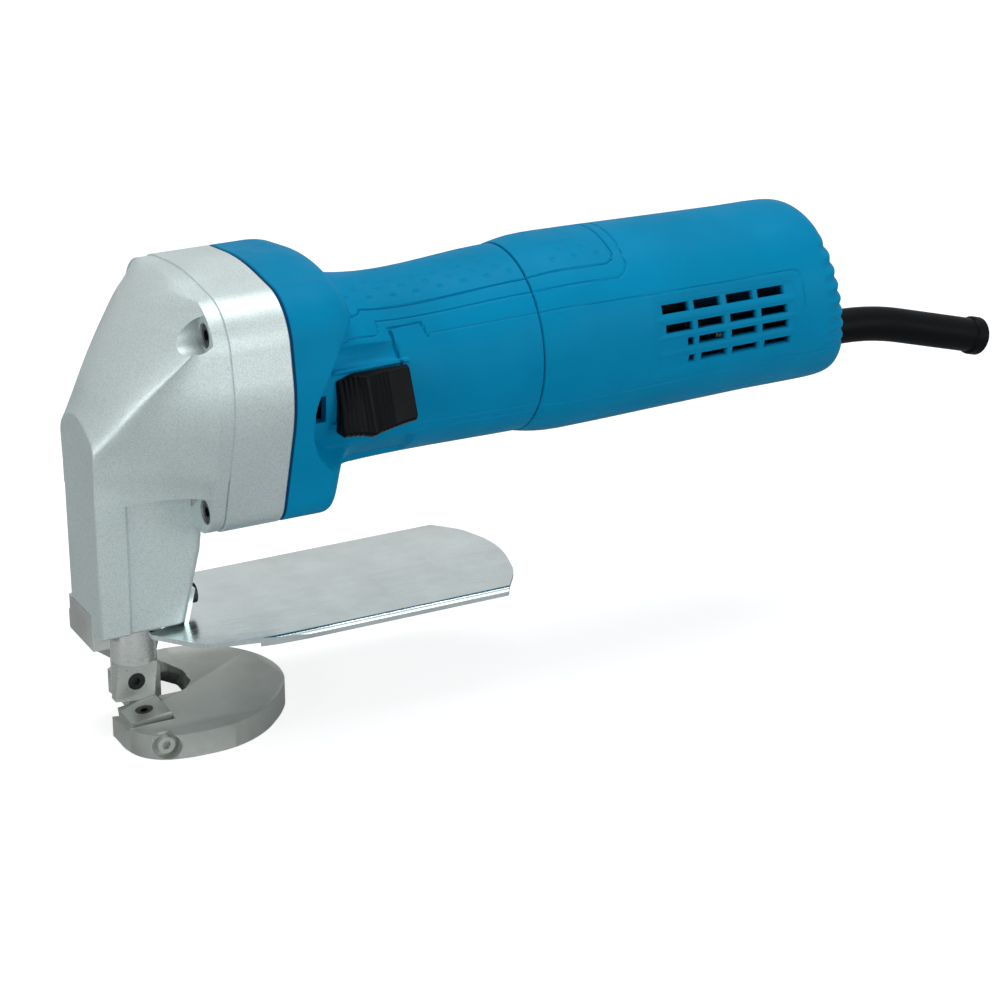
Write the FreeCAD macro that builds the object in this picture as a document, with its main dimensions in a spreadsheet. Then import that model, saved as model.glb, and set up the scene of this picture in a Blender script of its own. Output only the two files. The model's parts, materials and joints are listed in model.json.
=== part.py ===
"""Electric sheet-metal shear with square indexable blades, about 255 mm long.

Every piece is drawn about the motor axis: X runs from the cutting head (-) to the cord (+),
Z is up, and x = 0 is the seam between motor housing and rear cover. Each piece is then set down
so that the middle of the foot's flat underside is the origin.
"""
import FreeCAD, Part
import math
import os
import re
import Sketcher

V = FreeCAD.Vector

# ---------------------------------------------------------------- driving dimensions (mm, degrees)
SIZES = dict(
    # where the tool stands
    axis_height=102.0, foot_to_seam=90.0,
    # flanged outline shared by gear head, gasket and motor housing
    crown_height=37.4, crown_round=120.0,
    shoulder_width=33.0, shoulder_drop=2.8, shoulder_round=11.0,
    waist_width=38.4, waist_height=2.0, waist_round=30.0,
    base_width=25.0, base_depth=37.8, base_round=9.0,
    # gear head
    head_rear=-84.0, head_step=-102.0, head_front=-106.5, step_inset=0.5,
    brow_place=-121.5, brow_crown_drop=15.4, brow_width=23.0, brow_drop=3.5, brow_waist=24.0,
    brow_base=15.5,
    shoulder_base=30.5, shoulder_sill=-22.5, brow_sill=-26.5,
    nose_front=-136.0, nose_crown=-1.0, nose_width=13.2, nose_arch=11.0,
    column_rear=-101.5, column_waist=-103.5, column_heel=-108.8, column_top=-20.0, column_knee=-45.0,
    column_bottom=-67.2, column_taper=0.7, column_round=4.0,
    side_panel_depth=0.8, panel_front=-127.0, panel_rear=-112.5,
    chamber_radius=23.0, chamber_height=-11.0, chamber_front=-106.5, partition=2.0,
    cavity_front=-131.0, cavity_width=10.3,
    upper_screw_side=29.3, upper_screw_drop=10.1, lower_screw_side=24.5, lower_screw_height=-26.5,
    foot_tab_rear=-131.0, foot_tab_side=-5.0, foot_tab_rise=5.0,
    head_screw_radius=2.0, head_screw_cap=3.5, head_screw_cap_length=4.0, head_screw_reach=32.0,
    screw_pocket_radius=4.4,
    # gasket and bearing flange
    gasket_thickness=0.8, gasket_inset=0.25, flange_radius=27.0, flange_thickness=5.2,
    flange_boss_radius=12.8, flange_boss_length=7.6,
    # motor housing
    ring_rear=-73.0, blend_rear=-56.5, grip_radius=28.5, housing_bore=25.0,
    spigot_radius=26.9, spigot_length=22.0, web_place=12.0, web_thickness=3.0, bearing_boss_radius=12.6,
    recess_front=-77.5, recess_rear=-47.0, recess_top=18.0, recess_bottom=-13.0, recess_floor=31.2,
    slide_slot_end=1.0, slide_slot_height=3.6,
    exhaust_count=4, exhaust_pitch=7.0, exhaust_height=3.0, exhaust_top=12.0,
    # rear cover
    cover_front_radius=28.6, cover_swell_radius=30.4, cover_swell_place=11.0, cover_tail_radius=29.0,
    cover_end=113.8, cover_wall=2.6, cover_shoulder=80.0, cover_tail_drop=14.5, cover_end_radius=9.5,
    tail_cavity_radius=15.0, tail_cavity_height=-9.4, tail_cavity_end=103.5,
    vent_front=40.0, vent_length=9.6, vent_rib=2.0, vent_height=2.4, vent_pitch=6.0, vent_top=12.7,
    # motor
    stator_front=-50.0, stator_rear=-12.0, stator_radius=24.8, stator_flat=22.6, stator_bore=16.6,
    window_width=20.5, window_height=12.2, coil_gap=0.2, coil_overhang=6.0, coil_outer=21.5,
    armature_radius=15.9, armature_slots=12, slot_width=1.8, slot_depth=3.2, winding_radius=14.4,
    shaft_radius=4.0, shaft_tip_radius=1.3, rear_journal=3.0, shaft_rear=21.0,
    commutator_front=-4.0, commutator_rear=9.0, commutator_radius=10.0, bars=20,
    fan_front=-65.0, fan_width=6.5, fan_radius=21.5, fan_blades=11, fan_hub=7.0, fan_disc=1.2,
    brush_place=3.0, brush_width=6.0, brush_thickness=5.0, brush_length=10.0, brush_wall=1.2,
    brush_holder_length=13.0,
    # ball bearings: bore, outside and width
    plate_screw_radius=19.5, front_bearing_radius=11.0, front_bearing_width=7.0,
    rear_bearing_radius=8.5, rear_bearing_width=6.0, sleeve_wall=1.2,
    crank_bearing_radius=9.5, crank_bearing_width=6.0, ring_wall=1.7, race_gap=0.15, seal_thickness=0.8,
    # gears and crank
    gear_module=0.6, pinion_teeth=9, gear_teeth=49, tooth_shift=0.5, pressure_angle=20.0, mesh_slack=0.1,
    gear_front=-98.3, gear_width=6.0, pinion_overlap=1.0,
    crank_journal=3.5, crank_seat=4.0, crank_web_radius=7.4, crank_web=3.0, crank_rear=-76.0,
    crank_throw=1.8, pin_radius=2.5, roller_radius=4.25, roller_length=11.0, roller_gap=0.05,
    bush_wall=1.6, circlip_wall=1.4, circlip_thickness=1.0,
    # ram and blades
    ram_axis=-122.2, ram_radius=6.75, ram_foot=-80.0, ram_end=-90.5,
    yoke_length=12.0, yoke_width=9.5, yoke_wall=3.4, yoke_play=0.2,
    guide_wall=1.75, guide_top=-34.0, running_gap=0.05, seal_height=2.5,
    blade_size=12.2, blade_thickness=3.5, blade_hole=2.2, shear_plane=-3.0, shear_gap=0.15,
    upper_blade_height=-86.9, upper_blade_tilt=6.5,
    lower_blade_place=-122.9, lower_blade_height=-93.2, lower_blade_tilt=7.4,
    blade_screw_head=2.6, blade_screw_radius=2.0, blade_screw_sink=1.9, blade_screw_length=8.0,
    # foot
    foot_thickness=7.7, opening_edge=-4.6, neck_front=8.6, neck_rear=17.6, flange_top=-46.0,
    foot_screw_radius=2.5, foot_screw_cap=4.2, foot_screw_cap_length=4.5,
    adjuster_place=-122.5, adjuster_height=-97.8, adjuster_notch=3.7, adjuster_face=-23.2,
    adjuster_radius=2.0, adjuster_head=2.6,
    disc_front=-131.0, disc_rear=-74.4, disc_half=28.0, disc_toe=-21.0, disc_belly=-104.0,
    opening_front=-115.2, opening_tip=-102.4, opening_near=-0.4, opening_far=17.0, opening_heel=-110.6,
    neck_heel=-106.0, neck_root=-111.5, web_tip=-100.0, web_depth=3.0,
    # deflector
    deflector_top=-68.0, deflector_front=-120.3, deflector_sheet=1.4, deflector_lip=2.6,
    deflector_half=28.0, deflector_crown=1.6,
    deflector_rear=0.0, deflector_tab_width=6.0, deflector_tab_top=-58.0, deflector_screw_height=-62.0,
    # switch
    button_front=-70.5, button_length=24.5, button_height=10.0, button_crest=37.6, button_foot=32.2,
    button_skirt=29.4, button_pivot=33.6, button_pivot_place=-58.0, slider_travel=5.0, neck_half=3.5,
    rod_outer=24.6, rod_inner=23.1, rod_half_height=2.6, rod_rear=30.4,
    module_front=31.0, module_length=20.0, module_side=23.6, module_depth=15.0, module_height=11.0,
    # cord entry
    boot_height=-16.5, boot_inner=63.0, boot_straight=122.0, boot_drop=15.5, boot_bend=90.0,
    boot_tail=34.0, boot_radius=5.6, boot_bore=3.8, bead_radius=6.3, bead_length=5.0, collar_place=100.6,
    mouth_radius=4.0, mouth_depth=12.0,
    clamp_place=66.0, clamp_length=9.0, clamp_screw_side=10.6, clamp_half=14.0, clamp_thickness=8.4,
    saddle_floor=-24.6,
    cover_screw_place=9.0, cover_screw_seat=-28.9, cover_screw_cap=3.0,
    capacitor_place=40.0, capacitor_side=17.0, capacitor_height=-10.0, capacitor_length=22.0,
    capacitor_radius=6.5,
    # fits
    fit_gap=0.05, seat_gap=0.3,
)

doc = FreeCAD.newDocument("sheet_metal_shear")
sheet = doc.addObject("Spreadsheet::Sheet", "Sizes")
for row, (alias, size) in enumerate(SIZES.items(), start=1):
    sheet.set(f"A{row}", str(size))
    sheet.setAlias(f"A{row}", alias)
doc.recompute()

NAMES = re.compile(r"\b(" + "|".join(SIZES) + r")\b")


def tied(formula):
    """A formula of plain size names, with each name tied to its cell."""
    return NAMES.sub(r"Sizes.\1", str(formula))


def number(formula):
    return float(sheet.evalExpression(tied(formula)))


# ---------------------------------------------------------------- sizes that follow from the others
CRANK_Z = "(-(gear_module * (pinion_teeth + gear_teeth) / 2 + mesh_slack))"
FLANGE_X = "(head_rear + gasket_thickness)"
FRONT_BEARING_X = "(head_rear + gasket_thickness + flange_thickness)"
REAR_BEARING_X = "(web_place + web_thickness - 2)"
CRANK_BEARING_X = "chamber_front"
FOOT_TOP = "(foot_thickness - axis_height)"
CAVITY_TOP = f"({CRANK_Z} + roller_radius + 2 * crank_throw + yoke_play + yoke_wall + crank_throw + 1)"


# ---------------------------------------------------------------- drawing helpers
def tie(sketch, constraint, formula):
    index = sketch.addConstraint(constraint)
    sketch.setExpression(f"Constraints[{index}]", tied(formula))


def pin(sketch, geometry, end, across, up):
    """Hold one point of a sketch at a place given by two formulas."""
    for kind, formula in (("DistanceX", across), ("DistanceY", up)):
        tie(sketch, Sketcher.Constraint(kind, -1, 1, geometry, end, number(formula)), formula)


def outline(sketch, corners):
    """Closed outline through corners (across, up) or (across, up, rounding), each one a formula."""
    points = [V(number(corner[0]), number(corner[1]), 0) for corner in corners]
    rounds = [number(corner[2]) if len(corner) > 2 else 0 for corner in corners]
    count = len(corners)
    bends = []
    for i, point in enumerate(points):
        back = (points[i - 1] - point).normalize()
        ahead = (points[(i + 1) % count] - point).normalize()
        half = back.getAngle(ahead) / 2
        reach = rounds[i] / math.tan(half)
        middle = point + (back + ahead).normalize() * (rounds[i] / math.sin(half)) if rounds[i] else point
        left_turn = (-back).cross(ahead).z > 0
        bends.append((point + back * reach, point + ahead * reach, middle, left_turn))
    sides = []
    for i in range(count):
        side = Part.LineSegment(bends[i][1], bends[(i + 1) % count][0])
        sides.append(sketch.addGeometry(side, False))
    for i, corner in enumerate(corners):
        before, after = sides[i - 1], sides[i]
        if not rounds[i]:
            sketch.addConstraint(Sketcher.Constraint("Coincident", before, 2, after, 1))
            pin(sketch, after, 1, corner[0], corner[1])
            continue
        arrive, leave, middle, left_turn = bends[i]
        first, last = (arrive, leave) if left_turn else (leave, arrive)
        angles = [math.atan2(end.y - middle.y, end.x - middle.x) for end in (first, last)]
        circle_of_bend = Part.Circle(middle, V(0, 0, 1), rounds[i])
        arc = sketch.addGeometry(Part.ArcOfCircle(circle_of_bend, *angles), False)
        corner_point = sketch.addGeometry(Part.Point(points[i]), True)
        at_arrive, at_leave = (1, 2) if left_turn else (2, 1)
        sketch.addConstraint([
            Sketcher.Constraint("Tangent", before, 2, arc, at_arrive),
            Sketcher.Constraint("Tangent", arc, at_leave, after, 1),
            Sketcher.Constraint("PointOnObject", corner_point, 1, before),
            Sketcher.Constraint("PointOnObject", corner_point, 1, after)])
        pin(sketch, corner_point, 1, corner[0], corner[1])
        tie(sketch, Sketcher.Constraint("Radius", arc, rounds[i]), corner[2])


def mirrored_outline(sketch, right_side):
    """Outline whose right half is listed from top to bottom; corners on the centre line come first."""
    left_side = [(f"-({across})",) + tuple(rest) for across, *rest in right_side if across != "0"]
    outline(sketch, list(right_side) + left_side[::-1])


def rectangle(sketch, left, right, bottom, top, rounding=None):
    corners = ((left, bottom), (right, bottom), (right, top), (left, top))
    outline(sketch, [corner + ((rounding,) if rounding else ()) for corner in corners])


def circle(sketch, across, up, radius):
    round_line = Part.Circle(V(number(across), number(up), 0), V(0, 0, 1), number(radius))
    geometry = sketch.addGeometry(round_line, False)
    pin(sketch, geometry, 3, across, up)
    tie(sketch, Sketcher.Constraint("Radius", geometry, number(radius)), radius)


def across_axis(plane, place):
    """Offset of a sketch along the axis that stands on its plane."""
    return {{"XY": "z", "XZ": "y", "YZ": "x"}[plane]: place}


def hexagon(sketch, across, up, corner_radius):
    """Hexagonal socket of a screw."""
    corners = []
    for turn in range(0, 360, 60):
        corners.append((f"({across}) + {corner_radius} * cos({turn})",
                        f"({up}) + {corner_radius} * sin({turn})"))
    outline(sketch, corners)


class Piece:
    """One piece of the tool: a body with its own sketches and features."""

    def __init__(self, label, on_foot=True):
        self.body = doc.addObject("PartDesign::Body", label)
        self.body.Label = label
        self.body.AllowCompound = True
        if on_foot:
            self.place("foot_to_seam", "0", "axis_height")

    def place(self, x, y, z):
        for axis, formula in zip("xyz", (x, y, z)):
            self.body.setExpression(f"Placement.Base.{axis}", tied(formula))

    def sketch(self, plane, x="0", y="0", z="0", turn=None):
        """Empty sketch on an origin plane of this body, moved so that its origin is at x, y, z."""
        base = next(f for f in self.body.Origin.OriginFeatures if f.Role == plane + "_Plane")
        sketch = self.body.newObject("Sketcher::SketchObject", f"{self.body.Name}_{plane}")
        sketch.AttachmentSupport = [(base, "")]
        sketch.MapMode = "FlatFace"
        local = {"XY": (x, y, z), "XZ": (x, z, f"-({y})"), "YZ": (y, z, x)}[plane]
        for axis, formula in zip("xyz", local):
            sketch.setExpression(f"AttachmentOffset.Base.{axis}", tied(formula))
        if turn:
            sketch.setExpression("AttachmentOffset.Rotation.Angle", tied(turn))
        return sketch

    def feature(self, kind, sketch, backwards=False, **formulas):
        feature = self.body.newObject(f"PartDesign::{kind}", f"{self.body.Name}_{kind}")
        feature.Profile = sketch
        feature.Reversed = backwards
        for name, formula in formulas.items():
            feature.setExpression(name, tied(formula))
        sketch.Visibility = False
        return feature

    def pad(self, sketch, length, backwards=False, both=False):
        feature = self.feature("Pad", sketch, backwards, Length=length)
        feature.SideType = "Symmetric" if both else "One side"
        return feature

    def cut(self, sketch, length, backwards=False, both=False):
        """Pocket along the sketch's own direction, or against it when backwards."""
        feature = self.feature("Pocket", sketch, not backwards, Length=length)
        feature.SideType = "Symmetric" if both else "One side"
        return feature

    def turned(self, sketch, axis="H", groove=False):
        feature = self.feature("Groove" if groove else "Revolution", sketch)
        feature.ReferenceAxis = (sketch, [f"{axis}_Axis"])
        feature.Angle = 360
        return feature

    def loft(self, sketches, ruled=False, cut=False):
        feature = self.feature("SubtractiveLoft" if cut else "AdditiveLoft", sketches[0])
        feature.Sections = sketches[1:]
        feature.Ruled = ruled
        return feature

    def ring(self, feature, axis, count):
        """Repeat a feature around one of the body's origin axes."""
        pattern = self.body.newObject("PartDesign::PolarPattern", f"{self.body.Name}_ring")
        pattern.Originals = [feature]
        line = next(f for f in self.body.Origin.OriginFeatures if f.Role == axis + "_Axis")
        pattern.Axis = (line, [""])
        pattern.Angle = 360
        pattern.setExpression("Occurrences", tied(count))
        self.body.Tip = pattern
        return pattern

    def rod(self, plane, across, up, start, radius, length, backwards=False):
        """Round bar along the direction of a plane; start is measured along the plane's third axis."""
        sketch = self.sketch(plane, **across_axis(plane, start))
        circle(sketch, across, up, radius)
        return self.pad(sketch, length, backwards)

    def bore(self, plane, across, up, start, radius, length, backwards=False):
        sketch = self.sketch(plane, **across_axis(plane, start))
        circle(sketch, across, up, radius)
        return self.cut(sketch, length, backwards)

    def lathe(self, places, z="0", y="0"):
        """Solid of revolution about a line along X, from (x, radius) corners."""
        sketch = self.sketch("XZ", y=y, z=z)
        outline(sketch, places)
        return self.turned(sketch)


# ---------------------------------------------------------------- outlines shared between pieces
def shield(sketch, inset="0"):
    """Wide-shouldered outline of the flange between gear head and motor housing."""
    mirrored_outline(sketch, [
        ("0", f"crown_height - {inset}", "crown_round"),
        (f"shoulder_width - {inset}", f"crown_height - shoulder_drop - {inset}", "shoulder_round"),
        (f"waist_width - {inset}", "waist_height", "waist_round"),
        (f"base_width - {inset}", f"-base_depth + {inset}", "base_round")])


def blend_outline(sketch, share):
    """Outline that is `share` of the way from the shield to the round grip."""
    def between(shield_size, grip_size):
        return f"({shield_size}) * (1 - {share}) + ({grip_size}) * {share}"
    reach = "(grip_radius / cos(180 / 7))"
    angle = [90 - turn * 360 / 7 for turn in range(4)]
    rounding = "grip_radius * 0.97"
    shield_side = (("0", "crown_height", "crown_round * 0.5"),
                   ("shoulder_width", "(crown_height - shoulder_drop)", "shoulder_round"),
                   ("waist_width", "waist_height", "waist_round"),
                   ("base_width", "-base_depth", "base_round"))
    side = []
    for (across, up, bend), turn in zip(shield_side, angle):
        grip_across = f"{reach} * cos({turn})"
        grip_up = f"{reach} * sin({turn})"
        place = "0" if across == "0" else between(across, grip_across)
        side.append((place, between(up, grip_up), between(bend, rounding)))
    mirrored_outline(sketch, side)


UPPER_SCREW_Z = "(crown_height - upper_screw_drop)"
HEAD_SCREWS = (("upper_screw_side", UPPER_SCREW_Z), ("-upper_screw_side", UPPER_SCREW_Z),
               ("lower_screw_side", "lower_screw_height"), ("-lower_screw_side", "lower_screw_height"))


def head_screw_holes(piece, start, length, radius):
    sketch = piece.sketch("YZ", x=start)
    for across, up in HEAD_SCREWS:
        circle(sketch, across, up, radius)
    return piece.cut(sketch, length)


# ---------------------------------------------------------------- housings
def gear_housing():
    """Cast gear head: flanged band, sloping brow, nose column with the ram guide."""
    piece = Piece("gear_housing")
    band = piece.sketch("YZ", x="head_step")
    shield(band)
    piece.pad(band, "head_rear - head_step")
    step = piece.sketch("YZ", x="head_front")
    shield(step, "step_inset")
    piece.pad(step, "head_step - head_front")
    rear = piece.sketch("YZ", x="head_front")
    mirrored_outline(rear, [
        ("0", "crown_height - step_inset", "crown_round"),
        ("shoulder_width - step_inset", "crown_height - shoulder_drop - step_inset", "shoulder_round"),
        ("waist_width - step_inset", "waist_height", "waist_round / 2"),
        ("shoulder_base", "shoulder_sill", "2")])
    brow = piece.sketch("YZ", x="brow_place")
    mirrored_outline(brow, [
        ("0", "crown_height - brow_crown_drop", "30"),
        ("brow_width", "crown_height - brow_crown_drop - brow_drop", "shoulder_round - 4"),
        ("brow_waist", "-10", "20"),
        ("brow_base", "brow_sill", "2")])
    nose = piece.sketch("YZ", x="nose_front")
    mirrored_outline(nose, [
        ("0", "nose_crown", "6"),
        ("nose_width - 1.2", "nose_crown - nose_arch", "8"),
        ("nose_width", "nose_crown - nose_arch - 14", "10"),
        ("nose_width - column_taper", "-base_depth", "3")])
    piece.loft([rear, brow, nose])
    column_top = piece.sketch("XY", z="column_top")
    rectangle(column_top, "nose_front", "column_rear", "-nose_width", "nose_width", "column_round")
    column_knee = piece.sketch("XY", z="column_knee")
    rectangle(column_knee, "nose_front", "column_waist", "-nose_width + column_taper",
              "nose_width - column_taper", "column_round")
    piece.loft([column_top, column_knee], ruled=True)
    column_foot = piece.sketch("XY", z="column_bottom")
    rectangle(column_foot, "nose_front", "column_heel", "-nose_width + column_taper",
              "nose_width - column_taper", "column_round")
    piece.loft([column_knee, column_foot], ruled=True)
    # shallow panel on each side of the column
    for side, backwards in (("-nose_width", True), ("nose_width", False)):
        panel = piece.sketch("XZ", y=side)
        outline(panel, [("panel_front", "column_bottom - 2"), ("panel_rear", "column_bottom - 2"),
                        ("column_rear - 6", "brow_sill - 3", "4"), ("panel_front", "brow_sill - 3", "4")])
        piece.cut(panel, "column_taper + side_panel_depth", backwards)
    # notch for the tab of the foot
    notch = piece.sketch("XY", z="column_bottom")
    rectangle(notch, "nose_front - 1", "foot_tab_rear", "foot_tab_side", "nose_width + 1")
    piece.cut(notch, "foot_tab_rise")
    # gear chamber, yoke cavity and ram guide
    piece.bore("YZ", "0", "chamber_height", "chamber_front", "chamber_radius", "head_rear - chamber_front")
    piece.bore("YZ", "0", CRANK_Z, "chamber_front - partition - 1", "crank_web_radius + 0.6", "partition + 2")
    cavity = piece.sketch("YZ", x="cavity_front")
    rectangle(cavity, "-cavity_width", "cavity_width", "guide_top", CAVITY_TOP, "1.5")
    piece.cut(cavity, "chamber_front - partition - cavity_front")
    piece.bore("XY", "ram_axis", "0", "column_bottom - 1", "ram_radius + guide_wall",
               "guide_top - column_bottom + 2")
    # head screws: clearance holes and round pockets opening forward
    head_screw_holes(piece, "head_front - 1", "head_rear - head_front + 2", "head_screw_radius + 0.2")
    pockets = piece.sketch("YZ", x="head_front")
    for across, up in HEAD_SCREWS:
        circle(pockets, across, up, "screw_pocket_radius")
    piece.cut(pockets, "24", backwards=True)
    # tapped holes for the foot screws and the deflector screw
    for place in FOOT_SCREWS:
        piece.bore("XZ", place[0], place[1], "nose_width + 1", "foot_screw_radius", "4.4")
    piece.bore("YZ", "-3", "deflector_screw_height", "column_heel - 2.4", "1.5", "8")
    return piece


FOOT_SCREWS = (("ram_axis - 7", "flange_top - 7"), ("ram_axis + 8", "flange_top - 13"))


def housing_gasket():
    """Thin seal between gear head and motor housing."""
    piece = Piece("housing_gasket")
    sheet_outline = piece.sketch("YZ", x="head_rear")
    shield(sheet_outline, "gasket_inset")
    piece.pad(sheet_outline, "gasket_thickness")
    piece.bore("YZ", "0", "chamber_height", "head_rear - 1", "chamber_radius", "gasket_thickness + 2")
    head_screw_holes(piece, "head_rear - 1", "gasket_thickness + 2", "head_screw_radius + 0.2")
    return piece


def motor_housing():
    """Moulded motor housing: flange, blend to the round grip, switch recess, spigot for the cover."""
    piece = Piece("motor_housing")
    ring = piece.sketch("YZ", x=FLANGE_X)
    shield(ring)
    piece.pad(ring, f"ring_rear - {FLANGE_X}")
    sections = []
    for step, share in (("0", 0), ("0.3", 0.2), ("0.7", 0.8), ("1", 1)):
        section = piece.sketch("YZ", x=f"ring_rear + (blend_rear - ring_rear) * {step}")
        blend_outline(section, share)
        sections.append(section)
    piece.loft(sections)
    piece.rod("YZ", "0", "0", "blend_rear", "grip_radius", "-blend_rear")
    piece.rod("YZ", "0", "0", "-1", "spigot_radius", "spigot_length + 1")
    # bore, seat of the bearing flange, web with the rear bearing boss
    piece.bore("YZ", "0", "0", FLANGE_X + " - 1", "housing_bore", f"web_place - {FLANGE_X} + 1")
    seat = piece.sketch("YZ", x=FLANGE_X + " - 1")
    circle(seat, "0", "0", "flange_radius + fit_gap")
    piece.cut(seat, "flange_thickness + 1")
    piece.bore("YZ", "0", "0", "web_place + web_thickness", "housing_bore", "spigot_length")
    piece.rod("YZ", "0", "0", "web_place", "bearing_boss_radius", "web_thickness + rear_bearing_width - 1")
    piece.bore("YZ", "0", "0", REAR_BEARING_X, "rear_bearing_radius + sleeve_wall", "rear_bearing_width + 4")
    piece.bore("YZ", "0", "0", "web_place - 1", "shaft_radius + 1", "web_thickness + 2")
    hole = piece.bore("YZ", "0", "(housing_bore + bearing_boss_radius) / 2", "web_place - 1", "3.6",
                      "web_thickness + 2")
    piece.ring(hole, "X", "8")
    # switch: scooped recess and the slot that the slider passes through
    recess = piece.sketch("XZ", y="-waist_width - 2")
    rectangle(recess, "recess_front", "recess_rear", "recess_bottom", "recess_top", "5.5")
    piece.cut(recess, "waist_width + 2 - recess_floor", backwards=True)
    slot = piece.sketch("XZ", y="-waist_width - 2")
    slot_front = "button_pivot_place - neck_half - slider_travel - slide_slot_end"
    rectangle(slot, slot_front, "button_pivot_place + neck_half + slide_slot_end",
              "-slide_slot_height", "slide_slot_height", "1.5")
    piece.cut(slot, "waist_width + 2 - rod_inner", backwards=True)
    rod_way = piece.sketch("YZ", x="web_place - 1")
    rectangle(rod_way, "-housing_bore - 0.2", "-rod_inner + 0.4", "-rod_half_height - 0.4",
              "rod_half_height + 0.4")
    piece.cut(rod_way, "web_thickness + 2")
    # air leaves beside the fan, on the side away from the switch
    exhaust = piece.sketch("XZ", y="waist_width + 2")
    for slot_number in range(int(number("exhaust_count"))):
        top = f"exhaust_top - exhaust_pitch * {slot_number}"
        rectangle(exhaust, "fan_front - 3", "fan_front + fan_width + 4", f"{top} - exhaust_height", top,
                  "1.2")
    piece.cut(exhaust, "waist_width - 18")
    # screw holes of the head and of the cover
    head_screw_holes(piece, FLANGE_X + " - 1", "head_front + head_screw_reach - " + FLANGE_X + " + 1",
                     "head_screw_radius")
    piece.bore("XY", "cover_screw_place", "0", "-spigot_radius - 1", "1.5", "3.5")
    return piece


# sections of the tail of the rear cover: shares of its length, of its narrowing and of its drop
TAIL = ((0, 1, 0), (0.18, 0.985, 0.01), (0.42, 0.92, 0.07), (0.66, 0.77, 0.22), (0.85, 0.53, 0.46),
        (0.96, 0.26, 0.76), (1, 0, 1))


def rear_cover():
    """Cap over commutator and switch: swelling barrel, domed tail, vents, cord opening."""
    piece = Piece("rear_cover")
    piece.lathe([("0", "0"), ("0", "cover_front_radius"),
                 ("cover_swell_place * 0.7", "cover_swell_radius", "12"),
                 ("cover_shoulder", "cover_tail_radius"), ("cover_shoulder", "0")])
    # domed tail that falls towards the cord
    tail = []
    for along, around, lower in TAIL:
        section = piece.sketch("YZ", x=f"cover_shoulder + (cover_end - cover_shoulder) * {along}")
        circle(section, "0", f"-cover_tail_drop * {lower}",
               f"cover_end_radius + (cover_tail_radius - cover_end_radius) * {around}")
        tail.append(section)
    piece.loft(tail)
    # inside: barrel, narrow tail, and the lip that runs over the spigot
    piece.bore("YZ", "0", "0", "-1", "spigot_radius + fit_gap", "spigot_length + 2")
    inner = piece.sketch("YZ", x="spigot_length - 1")
    circle(inner, "0", "0", "cover_tail_radius - cover_wall")
    piece.cut(inner, "cover_shoulder - 4 - spigot_length + 1")
    piece.bore("YZ", "0", "tail_cavity_height", "cover_shoulder - 5", "tail_cavity_radius",
               "tail_cavity_end - cover_shoulder + 5")
    # vents on both sides
    vents = piece.sketch("XZ")
    for row in range(4):
        for column in range(4):
            left = f"vent_front + (vent_length + vent_rib) * {column}"
            short = f"{left} + vent_length * 0.72" if column == 0 and row > 1 else left
            up = f"vent_top - vent_pitch * {row}"
            rectangle(vents, short, f"{left} + vent_length", f"{up} - vent_height", up)
    piece.cut(vents, "3 * cover_swell_radius", both=True)
    # saddle for the cord clamp, cord opening and hole of the cover screw
    saddle = piece.sketch("XY", z="boot_height")
    rectangle(saddle, "clamp_place", "clamp_place + clamp_length", "-clamp_half", "clamp_half")
    piece.pad(saddle, "boot_height - saddle_floor", backwards=True)
    piece.bore("YZ", "0", "boot_height", "clamp_place - 1", "boot_radius", "clamp_length + 2")
    piece.bore("YZ", "0", "boot_height", "tail_cavity_end - 1", "boot_radius + fit_gap",
               "cover_end - tail_cavity_end + 3")
    for side in ("-1", "1"):
        piece.bore("XY", "clamp_place + clamp_length / 2", f"{side} * clamp_screw_side", "boot_height + 1",
                   "1.3", "8", backwards=True)
    piece.bore("XY", "cover_screw_place", "0", "-cover_swell_radius - 1", "1.7", "6")
    piece.bore("XY", "cover_screw_place", "0", "-cover_swell_radius - 1", "cover_screw_cap + 0.2",
               "cover_screw_seat + cover_swell_radius + 1")
    return piece


def rear_cover_screw():
    """Socket screw below the seam: holds the cover on the spigot."""
    piece = Piece("rear_cover_screw")
    head = "cover_screw_seat - 1.4"
    piece.rod("XY", "cover_screw_place", "0", head, "cover_screw_cap", "1.4")
    piece.rod("XY", "cover_screw_place", "0", head, "1.5", "5.4")
    socket = piece.sketch("XY", z=head)
    hexagon(socket, "cover_screw_place", "0", "1.2")
    piece.cut(socket, "1")
    return piece


# ---------------------------------------------------------------- gear head parts that stand still
def bearing_flange():
    """Plate between head and motor: holds the front motor bearing and the rear bush of the crank."""
    piece = Piece("bearing_flange")
    piece.rod("YZ", "0", "0", FLANGE_X, "flange_radius", "flange_thickness")
    piece.rod("YZ", "0", "0", FRONT_BEARING_X + " - 1", "flange_boss_radius", "flange_boss_length + 1")
    piece.rod("YZ", "0", CRANK_Z, FLANGE_X, "crank_journal + bush_wall + 2.2",
              f"crank_rear - {FLANGE_X} + 1.5")
    piece.bore("YZ", "0", "0", FRONT_BEARING_X, "front_bearing_radius", "flange_boss_length + 1")
    piece.bore("YZ", "0", "0", FLANGE_X + " - 1", "front_bearing_radius - 2.5", "flange_thickness + 3")
    piece.bore("YZ", "0", CRANK_Z, FLANGE_X + " - 1", "crank_journal + bush_wall",
               f"crank_rear - {FLANGE_X} + 1")
    return piece


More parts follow.
